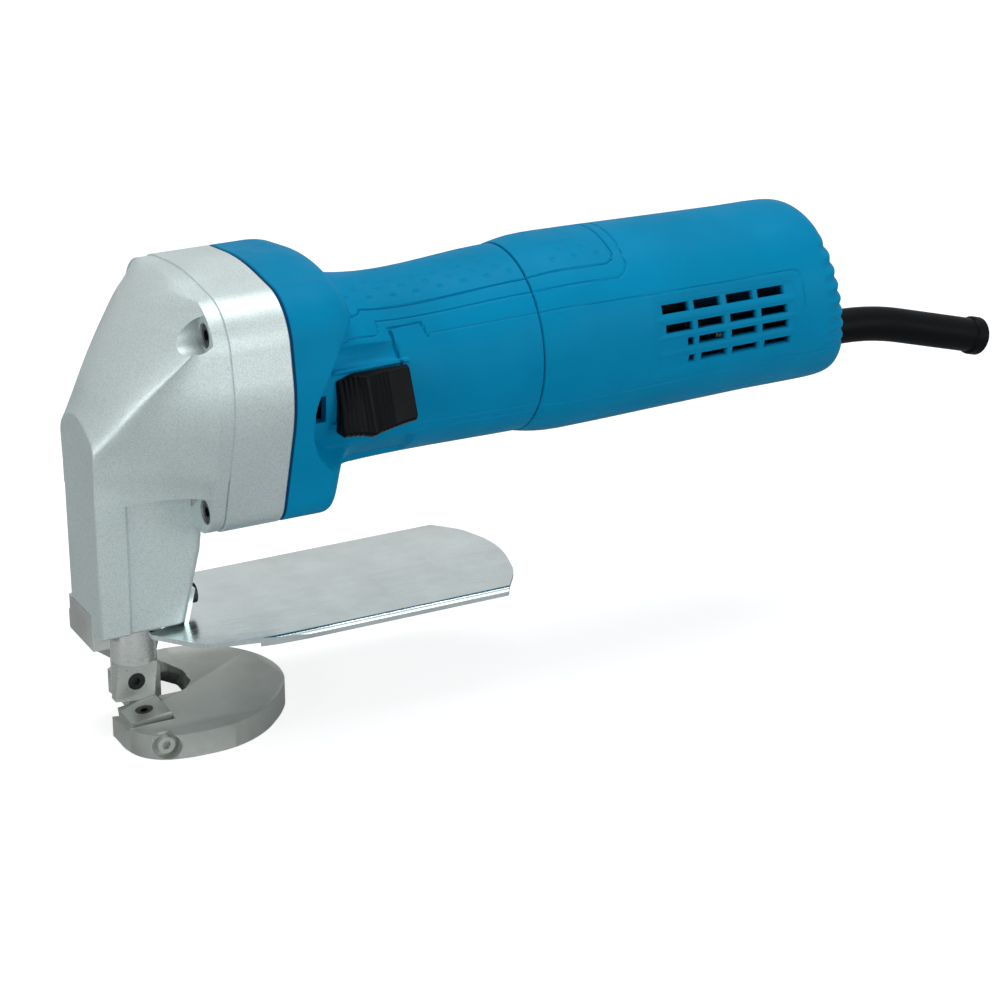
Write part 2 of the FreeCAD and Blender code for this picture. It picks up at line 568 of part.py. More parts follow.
def crank_bearing_plate():
    """Plate at the front of the gear chamber that holds the front crank bearing."""
    piece = Piece("crank_bearing_plate")
    piece.rod("YZ", "0", "chamber_height", "chamber_front", "chamber_radius - fit_gap",
              "crank_bearing_width")
    piece.bore("YZ", "0", CRANK_Z, "chamber_front - 1", "crank_bearing_radius", "crank_bearing_width + 2")
    piece.bore("YZ", "0", "0", "chamber_front - 1", "3", "crank_bearing_width + 2")
    sketch = piece.sketch("YZ", x="chamber_front - 1")
    for across, up in PLATE_SCREWS:
        circle(sketch, across, up, "1.5")
    piece.cut(sketch, "crank_bearing_width + 2")
    return piece


PLATE_SCREWS = [(f"plate_screw_radius * cos({turn})", f"chamber_height + plate_screw_radius * sin({turn})")
                for turn in (60, 180, 0)]


def bearing_plate_screws():
    piece = Piece("bearing_plate_screws")
    for across, up in PLATE_SCREWS:
        front = "chamber_front + crank_bearing_width"
        piece.rod("YZ", across, up, front, "2.8", "2")
        piece.rod("YZ", across, up, "chamber_front", "1.5", "crank_bearing_width + 0.5")
    return piece


def outer_ring(label, face, radius, bore, width, height="0"):
    """Outer ring of a sealed ball bearing, with its two seal rings."""
    piece = Piece(label)
    middle = f"({radius} + {bore}) / 2"
    piece.lathe([(face, radius), (f"{face} + {width}", radius),
                 (f"{face} + {width}", f"{bore} + ring_wall + race_gap"),
                 (f"{face} + {width} - seal_thickness", f"{bore} + ring_wall + race_gap"),
                 (f"{face} + {width} - seal_thickness", f"{middle} + race_gap"),
                 (f"{face} + seal_thickness", f"{middle} + race_gap"),
                 (f"{face} + seal_thickness", f"{bore} + ring_wall + race_gap"),
                 (face, f"{bore} + ring_wall + race_gap")], z=height)
    return piece


def inner_ring(label, face, radius, bore, width, height="0"):
    """Inner ring of a ball bearing; between the seals it rises to the ball track."""
    piece = Piece(label)
    middle = f"({radius} + {bore}) / 2"
    piece.lathe([(face, bore), (f"{face} + {width}", bore), (f"{face} + {width}", f"{bore} + ring_wall"),
                 (f"{face} + {width} - seal_thickness - race_gap", f"{bore} + ring_wall"),
                 (f"{face} + {width} - seal_thickness - race_gap", middle),
                 (f"{face} + seal_thickness + race_gap", middle),
                 (f"{face} + seal_thickness + race_gap", f"{bore} + ring_wall"),
                 (face, f"{bore} + ring_wall")], z=height)
    return piece


def crank_rear_bush():
    piece = Piece("crank_rear_bush")
    piece.rod("YZ", "0", CRANK_Z, FLANGE_X, "crank_journal + bush_wall", f"crank_rear - {FLANGE_X} - 0.5")
    piece.bore("YZ", "0", CRANK_Z, FLANGE_X + " - 1", "crank_journal + running_gap", "12")
    return piece


def ram_guide_bush():
    piece = Piece("ram_guide_bush")
    piece.rod("XY", "ram_axis", "0", "column_bottom + seal_height", "ram_radius + guide_wall",
              "guide_top - column_bottom - seal_height")
    piece.bore("XY", "ram_axis", "0", "column_bottom", "ram_radius + running_gap",
               "guide_top - column_bottom + 1")
    return piece


def ram_wiper_seal():
    piece = Piece("ram_wiper_seal")
    piece.rod("XY", "ram_axis", "0", "column_bottom", "ram_radius + guide_wall", "seal_height")
    piece.bore("XY", "ram_axis", "0", "column_bottom - 1", "ram_radius + seat_gap / 2", "seal_height + 2")
    return piece


def cap_screws(label, plane, places, seat, head_radius, head_length, radius, length, key, forward=True):
    """Socket cap screws: heads stand on `seat`, shanks run on beyond it."""
    piece = Piece(label)
    sign = "1" if forward else "-1"
    for across, up in places:
        piece.rod(plane, across, up, seat, head_radius, head_length, backwards=forward)
        piece.rod(plane, across, up, seat, radius, length, backwards=not forward)
        start = f"{seat} - {sign} * {head_length}"
        socket = piece.sketch(plane, **across_axis(plane, start))
        hexagon(socket, across, up, key)
        piece.cut(socket, f"{head_length} * 0.6", backwards=not forward)
    return piece


def foot():
    """Machined foot: flat disc with the chip opening, neck behind the blades, flange on the nose."""
    piece = Piece("foot")
    disc = piece.sketch("XY", z="-axis_height")
    outline(disc, [
        ("disc_front", "opening_edge"), ("disc_front", "disc_toe", "7"),
        ("disc_front + 9", "-disc_half", "9"), ("disc_belly", "-disc_half - 0.6", "36"),
        ("disc_rear", "disc_toe + 13", "20"), ("disc_rear", "disc_half - 6", "20"),
        ("disc_belly + 12", "disc_half + 3", "20"), ("disc_belly - 13", "disc_half - 1", "11"),
        ("ram_axis", "neck_rear + 1.5", "3"), ("ram_axis + 1.5", "neck_front"),
        ("opening_heel", "neck_front", "0.5"), ("opening_heel", "opening_far", "2"),
        ("opening_tip - 2", "opening_far - 1", "5"), ("opening_tip", "opening_near + 4", "4"),
        ("opening_tip - 4", "opening_near", "4"), ("opening_front", "opening_near", "0.5"),
        ("opening_front", "opening_edge")])
    piece.pad(disc, "foot_thickness")
    # neck and upright flange, seen from the side
    neck = piece.sketch("XZ", y="neck_rear")
    outline(neck, [
        ("nose_front", "column_bottom"), ("nose_front", "column_bottom - 6.5", "1"),
        ("-131", "column_bottom - 12.6", "2"), ("ram_axis + 1.5", "column_bottom - 19", "3"),
        ("ram_axis + 1.5", FOOT_TOP + " - 0.5"), ("neck_root", FOOT_TOP + " - 0.5"),
        ("neck_root", FOOT_TOP + " + 12", "9"), ("neck_heel + 1.5", "column_bottom", "3")])
    piece.pad(neck, "neck_rear - neck_front")
    # web that spreads the neck out onto the disc behind the opening
    web = piece.sketch("XZ", y="opening_far + web_depth")
    outline(web, [
        ("ram_axis + 1.5", FOOT_TOP + " - 0.5"), ("web_tip", FOOT_TOP + " - 0.5"),
        ("neck_root + 2.5", FOOT_TOP + " + 5", "9"), ("neck_heel", "column_bottom", "3"),
        ("ram_axis + 1.5", "column_bottom")])
    piece.pad(web, "web_depth")
    upright = piece.sketch("XZ", y="neck_rear")
    outline(upright, [
        ("nose_front + 0.8", "column_bottom - 1"), ("neck_heel + 1.5", "column_bottom - 1"),
        ("column_heel", "flange_top", "4"), ("nose_front + 0.8", "flange_top", "5")])
    piece.pad(upright, "neck_rear - nose_width + column_taper")
    # tab that laps under and into the front of the nose
    tab = piece.sketch("XY", z="column_bottom - 6.5")
    rectangle(tab, "nose_front", "foot_tab_rear", "foot_tab_side", "neck_rear - 1")
    piece.pad(tab, "foot_tab_rise + 6.5")
    # seat of the lower blade and its clamp screw
    seat = piece.sketch("XZ", x="lower_blade_place", z="lower_blade_height", y="shear_plane + 4",
                        turn="lower_blade_tilt")
    rectangle(seat, "-blade_size / 2 - 3", "blade_size / 2 + fit_gap", "-blade_thickness", "blade_thickness")
    piece.cut(seat, "4 + blade_size + fit_gap")
    hole = piece.sketch("XZ", x="lower_blade_place", z="lower_blade_height",
                        y="shear_plane - blade_size / 2", turn="lower_blade_tilt")
    rectangle(hole, "0", "blade_screw_radius", "-blade_screw_length", "0")
    piece.turned(hole, "V", groove=True)
    notch = piece.sketch("XZ", y="-disc_half - 1")
    circle(notch, "adjuster_place", "adjuster_height", "adjuster_notch")
    piece.cut(notch, "disc_half + 1 + adjuster_face", backwards=True)
    piece.bore("XZ", "adjuster_place", "adjuster_height", "-disc_half - 1", "adjuster_radius",
               "disc_half + 1 + shear_plane - blade_size", backwards=True)
    for across, up in FOOT_SCREWS:
        piece.bore("XZ", across, up, "neck_rear + 1", "foot_screw_radius", "neck_rear - nose_width + 3")
    return piece


def tilted_blade(label, plane, place, tilt):
    """Square blade with four edges and a stepped centre hole, in a frame of its own."""
    piece = Piece(label, on_foot=False)
    piece.place(*place)
    piece.body.Placement.Rotation = FreeCAD.Rotation(V(0, 1, 0), 1)
    piece.body.setExpression("Placement.Rotation.Angle", tied(tilt))
    half = "blade_size / 2"
    face = piece.sketch(plane)
    rectangle(face, f"-{half}", half, f"-{half}", half)
    piece.pad(face, "blade_thickness", backwards=plane == "XY")
    through = {"XY": "-blade_thickness - 1", "XZ": "1"}[plane]
    piece.bore(plane, "0", "0", through, "blade_screw_radius + 0.1", "blade_thickness + 2")
    sunk = {"XY": "-blade_screw_sink", "XZ": "-blade_thickness + blade_screw_sink"}[plane]
    piece.bore(plane, "0", "0", sunk, "blade_screw_head + 0.1", "blade_thickness")
    return piece


def blade_screw(label, plane, place, tilt, length):
    """Screw of a blade: head sunk in the blade, socket in its face."""
    piece = Piece(label, on_foot=False)
    piece.place(*place)
    piece.body.Placement.Rotation = FreeCAD.Rotation(V(0, 1, 0), 1)
    piece.body.setExpression("Placement.Rotation.Angle", tied(tilt))
    if plane == "XY":
        seat, face = "-blade_screw_sink", "-0.2"
    else:
        seat, face = "-blade_thickness + blade_screw_sink", "-blade_thickness + 0.2"
    piece.rod(plane, "0", "0", seat, "blade_screw_head", "blade_screw_sink - 0.2")
    piece.rod(plane, "0", "0", seat, "blade_screw_radius", length, backwards=True)
    socket = piece.sketch(plane, **across_axis(plane, face))
    hexagon(socket, "0", "0", "1.3")
    piece.cut(socket, "1.1", backwards=True)
    return piece


UPPER_BLADE = ("foot_to_seam + ram_axis - 0.3", "shear_plane + shear_gap + blade_thickness",
               "axis_height + upper_blade_height")
LOWER_BLADE = ("foot_to_seam + lower_blade_place", "shear_plane - blade_size / 2",
               "axis_height + lower_blade_height")


def blade_adjusting_screw():
    """Socket screw in the rim of the foot that bears on the lower blade."""
    piece = Piece("blade_adjusting_screw")
    piece.rod("XZ", "adjuster_place", "adjuster_height", "adjuster_face", "adjuster_head", "2.2")
    piece.rod("XZ", "adjuster_place", "adjuster_height", "adjuster_face", "adjuster_radius",
              "shear_plane - blade_size - fit_gap - adjuster_face", backwards=True)
    socket = piece.sketch("XZ", y="adjuster_face - 2.2")
    hexagon(socket, "adjuster_place", "adjuster_height", "1.4")
    piece.cut(socket, "1.6", backwards=True)
    return piece


def deflector():
    """Polished chip deflector: crowned sheet with turned-down edges and a tab up the nose."""
    piece = Piece("deflector")
    section = piece.sketch("YZ", x="deflector_front")
    edge, edge_foot = "deflector_top - deflector_crown", "deflector_top - deflector_crown - deflector_lip"
    mirrored_outline(section, [
        ("0", "deflector_top", "220"),
        ("deflector_half", edge, "1.6"),
        ("deflector_half", edge_foot),
        ("deflector_half - deflector_sheet", edge_foot),
        ("deflector_half - deflector_sheet", f"{edge} - deflector_sheet"),
        ("0.001", "deflector_top - deflector_sheet")])
    piece.pad(section, "deflector_rear - deflector_front")
    trim = piece.sketch("XY", z="deflector_top + 1")
    outside, back = "deflector_half + 0.4", "deflector_rear"
    column_side, beside_ram = "neck_front - 1.6", "ram_axis + ram_radius + 2"
    rectangle(trim, "deflector_front - 20", f"{back} + 20", "-deflector_half - 20", "deflector_half + 20")
    outline(trim, [
        ("deflector_front", "-9"), ("deflector_front", "-11.6", "1"), ("-109", "-23.6", "12"),
        ("-88", "-27.4", "30"), ("-70", f"-({outside})", "40"), (f"{back} - 12", f"-({outside})"),
        (f"{back} - 4.5", "-18", "14"), (back, "0", "40"), (f"{back} - 4.5", "18", "14"),
        (f"{back} - 12", outside), ("-96", outside), ("neck_heel + 3.6", "neck_rear + 3", "4"),
        ("neck_heel + 3.6", column_side, "2"), (beside_ram, column_side, "1"), (beside_ram, "-9", "3")])
    piece.cut(trim, "20", backwards=True)
    tab = piece.sketch("XZ", y="-3")
    slope = "(column_waist - column_heel) / (column_knee - column_bottom)"
    tab_lean = f"column_heel + {slope} * (deflector_tab_top - column_bottom)"
    foot_lean = f"column_heel + {slope} * (deflector_top - 0.6 - column_bottom)"
    outline(tab, [(foot_lean, "deflector_top - 0.6"),
                  (f"{foot_lean} + deflector_sheet", "deflector_top - 0.6"),
                  (f"{tab_lean} + deflector_sheet", "deflector_tab_top"), (tab_lean, "deflector_tab_top")])
    piece.pad(tab, "2 * deflector_tab_width", both=True)
    piece.bore("YZ", "-3", "deflector_screw_height", "column_heel - 2", "1.7", "8")
    return piece


def deflector_screw():
    piece = Piece("deflector_screw")
    slope = "(column_waist - column_heel) / (column_knee - column_bottom)"
    lean = f"{slope} * (deflector_screw_height + 3 - column_bottom)"
    seat = f"(column_heel + {lean} + deflector_sheet + fit_gap)"
    piece.rod("YZ", "-3", "deflector_screw_height", seat, "3", "2.2")
    piece.rod("YZ", "-3", "deflector_screw_height", seat, "1.5", "4.4", backwards=True)
    return piece


# ---------------------------------------------------------------- ram
def ram():
    """Round ram with the slotted yoke above and the flat for the upper blade below."""
    piece = Piece("ram")
    slot_up = "(roller_radius + 2 * crank_throw + yoke_play)"
    slot_across = "(roller_radius + crank_throw + yoke_play)"
    yoke = piece.sketch("YZ", x="ram_axis - yoke_length / 2")
    rectangle(yoke, "-yoke_width", "yoke_width", f"{CRANK_Z} - {slot_up} - yoke_wall",
              f"{CRANK_Z} + {slot_up} + yoke_wall", "2")
    rectangle(yoke, f"-{slot_across}", slot_across, f"{CRANK_Z} - {slot_up}", f"{CRANK_Z} + {slot_up}", "1.5")
    piece.pad(yoke, "yoke_length")
    piece.rod("XY", "ram_axis", "0", "ram_end", "ram_radius",
              f"{CRANK_Z} - {slot_up} - yoke_wall - ram_end + 1")
    flat = piece.sketch("XY", z="ram_end - 1")
    rectangle(flat, "ram_axis - ram_radius - 1", "ram_axis + ram_radius + 1", "-ram_radius - 1",
              "shear_plane + shear_gap + blade_thickness")
    piece.cut(flat, "ram_foot - ram_end + 1")
    piece.bore("XZ", "ram_axis - 0.3", "upper_blade_height", "shear_plane", "blade_screw_radius", "9",
               backwards=True)
    return piece


# ---------------------------------------------------------------- crank
def crank_shaft():
    """Crankshaft with bush journal, gear seat, bearing journal, web and offset pin."""
    piece = Piece("crank_shaft")
    plate_rear = "(chamber_front + crank_bearing_width)"
    piece.lathe([("crank_rear - 0.4", "0"), ("crank_rear - 0.4", "crank_journal"),
                 (FLANGE_X + " - 0.4", "crank_journal"), (FLANGE_X + " - 0.4", "crank_seat"),
                 (plate_rear, "crank_seat"), (plate_rear, "crank_journal"),
                 ("chamber_front - 0.3", "crank_journal"), ("chamber_front - 0.3", "crank_web_radius"),
                 ("chamber_front - 0.3 - crank_web", "crank_web_radius"),
                 ("chamber_front - 0.3 - crank_web", "0")], z=CRANK_Z)
    piece.rod("YZ", "crank_throw", CRANK_Z, "ram_axis - roller_length / 2 - 0.4", "pin_radius",
              "chamber_front - 0.3 - ram_axis + roller_length / 2")
    return piece


def eccentric_roller():
    piece = Piece("eccentric_roller")
    piece.rod("YZ", "crank_throw", CRANK_Z, "ram_axis - roller_length / 2", "roller_radius", "roller_length")
    piece.bore("YZ", "crank_throw", CRANK_Z, "ram_axis - roller_length", "pin_radius + roller_gap",
               "2 * roller_length")
    return piece


def gear_retaining_ring():
    piece = Piece("gear_retaining_ring")
    piece.rod("YZ", "0", CRANK_Z, "gear_front + gear_width", "crank_seat + circlip_wall", "circlip_thickness")
    piece.bore("YZ", "0", CRANK_Z, "gear_front", "crank_seat", "2 * gear_width")
    return piece


def gear_outline(teeth, shift):
    """Wire of a spur gear across X, one tooth straight up; flanks are arcs through involute points."""
    module, pressure = number("gear_module"), math.radians(number("pressure_angle"))
    pitch = module * teeth / 2
    base = pitch * math.cos(pressure)
    tip, root = pitch + module * (1 + shift), pitch - module * (1.25 - shift)

    def involute(angle):
        return math.tan(angle) - angle

    def half_angle(radius):
        tooth = (math.pi / 2 + 2 * shift * math.tan(pressure)) / teeth
        return tooth + involute(pressure) - involute(math.acos(min(1, base / radius)))

    def point(radius, angle):
        return V(0, radius * math.sin(angle), radius * math.cos(angle))

    foot_radius = max(base, root)
    waist = (foot_radius + tip) / 2
    edges = []
    for tooth in range(teeth):
        middle = 2 * math.pi * tooth / teeth
        following = 2 * math.pi * (tooth + 1) / teeth
        rising = [point(r, middle - half_angle(r)) for r in (foot_radius, waist, tip)]
        falling = [point(r, middle + half_angle(r)) for r in (tip, waist, foot_radius)]
        low = point(root, middle + half_angle(foot_radius))
        next_low = point(root, following - half_angle(foot_radius))
        start_low = point(root, middle - half_angle(foot_radius))
        if root < base:
            edges.append(Part.LineSegment(start_low, rising[0]).toShape())
        edges.append(Part.Arc(*rising).toShape())
        edges.append(Part.Arc(rising[2], point(tip, middle), falling[0]).toShape())
        edges.append(Part.Arc(*falling).toShape())
        if root < base:
            edges.append(Part.LineSegment(falling[2], low).toShape())
        edges.append(Part.Arc(low, point(root, (middle + following) / 2), next_low).toShape())
    return Part.Wire(edges)


def spur_gear(label, teeth, shift, start, width, bore, height, web=None):
    """Toothed wheel along X, with its bore and, on a large wheel, thinned web faces."""
    blank = Part.Face(gear_outline(int(number(teeth)), number(shift)))
    solid = blank.extrude(V(number(width), 0, 0))
    along = V(1, 0, 0)
    solid = solid.cut(Part.makeCylinder(number(bore), number(width) + 2, V(-1, 0, 0), along))
    if web:
        rim, hub, depth = (number(size) for size in web)
        trough = Part.makeCylinder(rim, depth, V(0, 0, 0), along).cut(
            Part.makeCylinder(hub, depth, V(0, 0, 0), along))
        solid = solid.cut(trough).cut(trough.translated(V(number(width) - depth, 0, 0)))
    gear = doc.addObject("Part::Feature", label)
    gear.Label = label
    gear.Shape = solid
    for axis, formula in zip("xyz", (f"foot_to_seam + {start}", "0", f"axis_height + {height}")):
        gear.setExpression(f"Placement.Base.{axis}", tied(formula))
    return gear


# ---------------------------------------------------------------- motor
def stator_core():
    """Stack of field laminations with flats on its sides, pole bore and two winding windows."""
    piece = Piece("stator_core")
    piece.rod("YZ", "0", "0", "stator_front", "stator_radius", "stator_rear - stator_front")
    for side, backwards in (("-stator_flat", False), ("stator_flat", True)):
        flat = piece.sketch("XZ", y=side)
        rectangle(flat, "stator_front - 1", "stator_rear + 1", "-stator_radius", "stator_radius")
        piece.cut(flat, "5", backwards)
    piece.bore("YZ", "0", "0", "stator_front - 1", "stator_bore", "stator_rear - stator_front + 2")
    windows = piece.sketch("YZ", x="stator_front - 1")
    rectangle(windows, "-window_width", "window_width", "-window_height", "window_height", "1")
    piece.cut(windows, "stator_rear - stator_front + 2")
    return piece


def stator_windings():
    """Field coils: bars in the windows joined by end turns around the armature."""
    piece = Piece("stator_windings")
    for start in ("stator_front - coil_overhang", "stator_rear + coil_gap"):
        piece.rod("YZ", "0", "0", start, "coil_outer", "coil_overhang - coil_gap")
    bars = piece.sketch("YZ", x="stator_front - coil_gap - 1")
    rectangle(bars, "-window_width + coil_gap", "window_width - coil_gap", "-window_height + coil_gap",
              "window_height - coil_gap", "1")
    piece.pad(bars, "stator_rear - stator_front + 2 * coil_gap + 2")
    piece.bore("YZ", "0", "0", "stator_front - coil_overhang - 1", "stator_bore + 0.3",
               "stator_rear - stator_front + 2 * coil_overhang + 2")
    return piece


def armature_shaft():
    piece = Piece("armature_shaft")
    piece.lathe([("gear_front - pinion_overlap", "0"), ("gear_front - pinion_overlap", "shaft_tip_radius"),
                 ("gear_front + gear_width + pinion_overlap", "shaft_tip_radius"),
                 ("gear_front + gear_width + pinion_overlap", "shaft_radius - 0.8"),
                 (FLANGE_X, "shaft_radius - 0.8"), (FLANGE_X, "shaft_radius"),
                 (REAR_BEARING_X, "shaft_radius"), (REAR_BEARING_X, "rear_journal"),
                 ("shaft_rear", "rear_journal"), ("shaft_rear", "0")])
    return piece


def armature_core():
    """Slotted lamination stack of the armature."""
    piece = Piece("armature_core")
    piece.rod("YZ", "0", "0", "stator_front", "armature_radius", "stator_rear - stator_front")
    piece.bore("YZ", "0", "0", "stator_front - 1", "shaft_radius", "stator_rear - stator_front + 2")
    slot = piece.sketch("YZ", x="stator_front - 1")
    rectangle(slot, "-slot_width / 2", "slot_width / 2", "armature_radius - slot_depth",
              "armature_radius + 1")
    piece.ring(piece.cut(slot, "stator_rear - stator_front + 2"), "X", "armature_slots")
    return piece


def armature_windings():
    piece = Piece("armature_windings")
    for front, rear in (("stator_front - coil_overhang", "stator_front"),
                        ("stator_rear", "commutator_front")):
        piece.lathe([(front, "shaft_radius"), (rear, "shaft_radius"), (rear, "winding_radius", "2"),
                     (front, "winding_radius - 2", "2")])
    return piece


def commutator():
    """Copper commutator with a raised riser ring and slotted bars."""
    piece = Piece("commutator")
    piece.lathe([("commutator_front", "shaft_radius"), ("commutator_rear", "shaft_radius"),
                 ("commutator_rear", "commutator_radius"),
                 ("commutator_front + 2.2", "commutator_radius"),
                 ("commutator_front + 2.2", "commutator_radius + 1.4"),
                 ("commutator_front", "commutator_radius + 1.4")])
    slot = piece.sketch("YZ", x="commutator_front - 1")
    rectangle(slot, "-0.25", "0.25", "commutator_radius - 0.8", "commutator_radius + 3")
    piece.ring(piece.cut(slot, "commutator_rear - commutator_front + 2"), "X", "bars")
    return piece


def fan():
    """Radial fan behind the front bearing: hub, disc and straight blades."""
    piece = Piece("fan")
    piece.rod("YZ", "0", "0", "fan_front", "fan_hub", "fan_width + 1")
    piece.rod("YZ", "0", "0", "fan_front", "fan_radius", "fan_disc")
    vane = piece.sketch("YZ", x="fan_front + fan_disc / 2")
    rectangle(vane, "-0.7", "0.7", "fan_hub - 1", "fan_radius - 0.5")
    piece.ring(piece.pad(vane, "fan_width - fan_disc / 2"), "X", "fan_blades")
    piece.bore("YZ", "0", "0", "fan_front - 1", "shaft_radius", "fan_width + 4")
    return piece


def brush_holders():
    """Two brush boxes above and below the commutator, flanged against the housing bore."""
    piece = Piece("brush_holders")
    for sign, backwards in (("1", False), ("-1", True)):
        tube = piece.sketch("XY", z=f"{sign} * (commutator_radius + 1)")
        half, across = "brush_thickness / 2", "brush_width / 2"
        rectangle(tube, f"brush_place - {half} - brush_wall", f"brush_place + {half} + brush_wall",
                  f"-{across} - brush_wall", f"{across} + brush_wall", "0.8")
        rectangle(tube, f"brush_place - {half} - fit_gap", f"brush_place + {half} + fit_gap",
                  f"-{across} - fit_gap", f"{across} + fit_gap")
        piece.pad(tube, "brush_holder_length", backwards)
    return piece


def carbon_brushes():
    piece = Piece("carbon_brushes")
    for sign, backwards in (("1", False), ("-1", True)):
        block = piece.sketch("XY", z=f"{sign} * (commutator_radius + fit_gap)")
        rectangle(block, "brush_place - brush_thickness / 2", "brush_place + brush_thickness / 2",
                  "-brush_width / 2", "brush_width / 2")
        piece.pad(block, "brush_length", backwards)
    return piece


def brush_springs():
    """Coil springs behind the brushes, as short sleeves."""
    piece = Piece("brush_springs")
    for sign, backwards in (("1", False), ("-1", True)):
        sleeve = piece.sketch("XY", z=f"{sign} * (commutator_radius + brush_length + 2 * fit_gap)")
        circle(sleeve, "brush_place", "0", "brush_thickness / 2 - 0.2")
        circle(sleeve, "brush_place", "0", "brush_thickness / 2 - 1")
        piece.pad(sleeve, "brush_holder_length - brush_length + 1", backwards)
    return piece


def rear_bearing_sleeve():
    piece = Piece("rear_bearing_sleeve")
    piece.rod("YZ", "0", "0", REAR_BEARING_X, "rear_bearing_radius + sleeve_wall", "rear_bearing_width")
    piece.bore("YZ", "0", "0", REAR_BEARING_X + " - 1", "rear_bearing_radius", "rear_bearing_width + 2")
    return piece


# ---------------------------------------------------------------- switch
def switch_slider():
    """Switch rod beside the stator, with the neck and pin that carry the button."""
    piece = Piece("switch_slider")
    rod = piece.sketch("YZ", x="button_pivot_place - 6")
    rectangle(rod, "-rod_outer", "-rod_inner", "-rod_half_height", "rod_half_height")
    piece.pad(rod, "rod_rear - button_pivot_place + 6")
    neck = piece.sketch("XZ", y="-rod_inner")
    rectangle(neck, "button_pivot_place - neck_half", "button_pivot_place + neck_half",
              "-slide_slot_height + 0.4", "slide_slot_height - 0.4")
    piece.pad(neck, "button_pivot + 1.2 - rod_inner")
    piece.rod("XY", "button_pivot_place", "-button_pivot", "-button_height + 1.5", "1",
              "2 * button_height - 3")
    return piece


def switch_button():
    """Two-sloped thumb button, hollow underneath, hinged on the slider's pin."""
    piece = Piece("switch_button")
    side = piece.sketch("XY")
    outline(side, [
        ("button_front", "-button_foot"), ("button_front + button_length - 7", "-button_foot"),
        ("button_front + button_length - 7", "-button_skirt"),
        ("button_front + button_length", "-button_skirt"),
        ("button_front + button_length", "-button_crest + 1.2", "0.6"),
        ("button_front + button_length / 2", "-button_crest", "0.8"),
        ("button_front", "-button_crest + 2.6", "0.6")])
    piece.pad(side, "2 * button_height", both=True)
    hollow = piece.sketch("XZ", y="-button_skirt")
    rectangle(hollow, "button_pivot_place - 5", "button_pivot_place + 5", "-button_height + 2.6",
              "button_height - 2.6", "1")
    piece.cut(hollow, "button_crest - button_skirt - 1.8")
    piece.bore("XY", "button_pivot_place", "-button_pivot", "-button_height + 1.4", "1 + running_gap",
               "2 * button_height - 2.8")
    return piece


def switch_module():
    """Switch block behind the rear bearing, beside the wall of the cover."""
    piece = Piece("switch_module")
    block = piece.sketch("YZ", x="module_front")
    rectangle(block, "-module_side", "-module_side + module_depth", "-module_height", "module_height", "1")
    piece.pad(block, "module_length")
    for up in ("-6", "0", "6"):
        blades_ = piece.sketch("YZ", x="module_front + module_length - 1")
        rectangle(blades_, "-module_side + 4", "-module_side + 10", f"{up} - 0.5", f"{up} + 0.5")
        piece.pad(blades_, "6")
    return piece


def suppression_capacitor():
    piece = Piece("suppression_capacitor")
    piece.rod("YZ", "capacitor_side", "capacitor_height", "capacitor_place", "capacitor_radius",
              "capacitor_length")
    return piece


# ---------------------------------------------------------------- cord entry
def cord_clamp():
    """Strap that holds the inner end of the boot down on its saddle."""
    piece = Piece("cord_clamp")
    strap = piece.sketch("XY", z="boot_height")
    rectangle(strap, "clamp_place", "clamp_place + clamp_length", "-clamp_half", "clamp_half", "1.5")
    piece.pad(strap, "clamp_thickness")
    piece.bore("YZ", "0", "boot_height", "clamp_place - 1", "boot_radius", "clamp_length + 2")
    for side in ("-1", "1"):
        piece.bore("XY", "clamp_place + clamp_length / 2", f"{side} * clamp_screw_side", "boot_height - 1",
                   "1.6", "clamp_thickness + 2")
    return piece


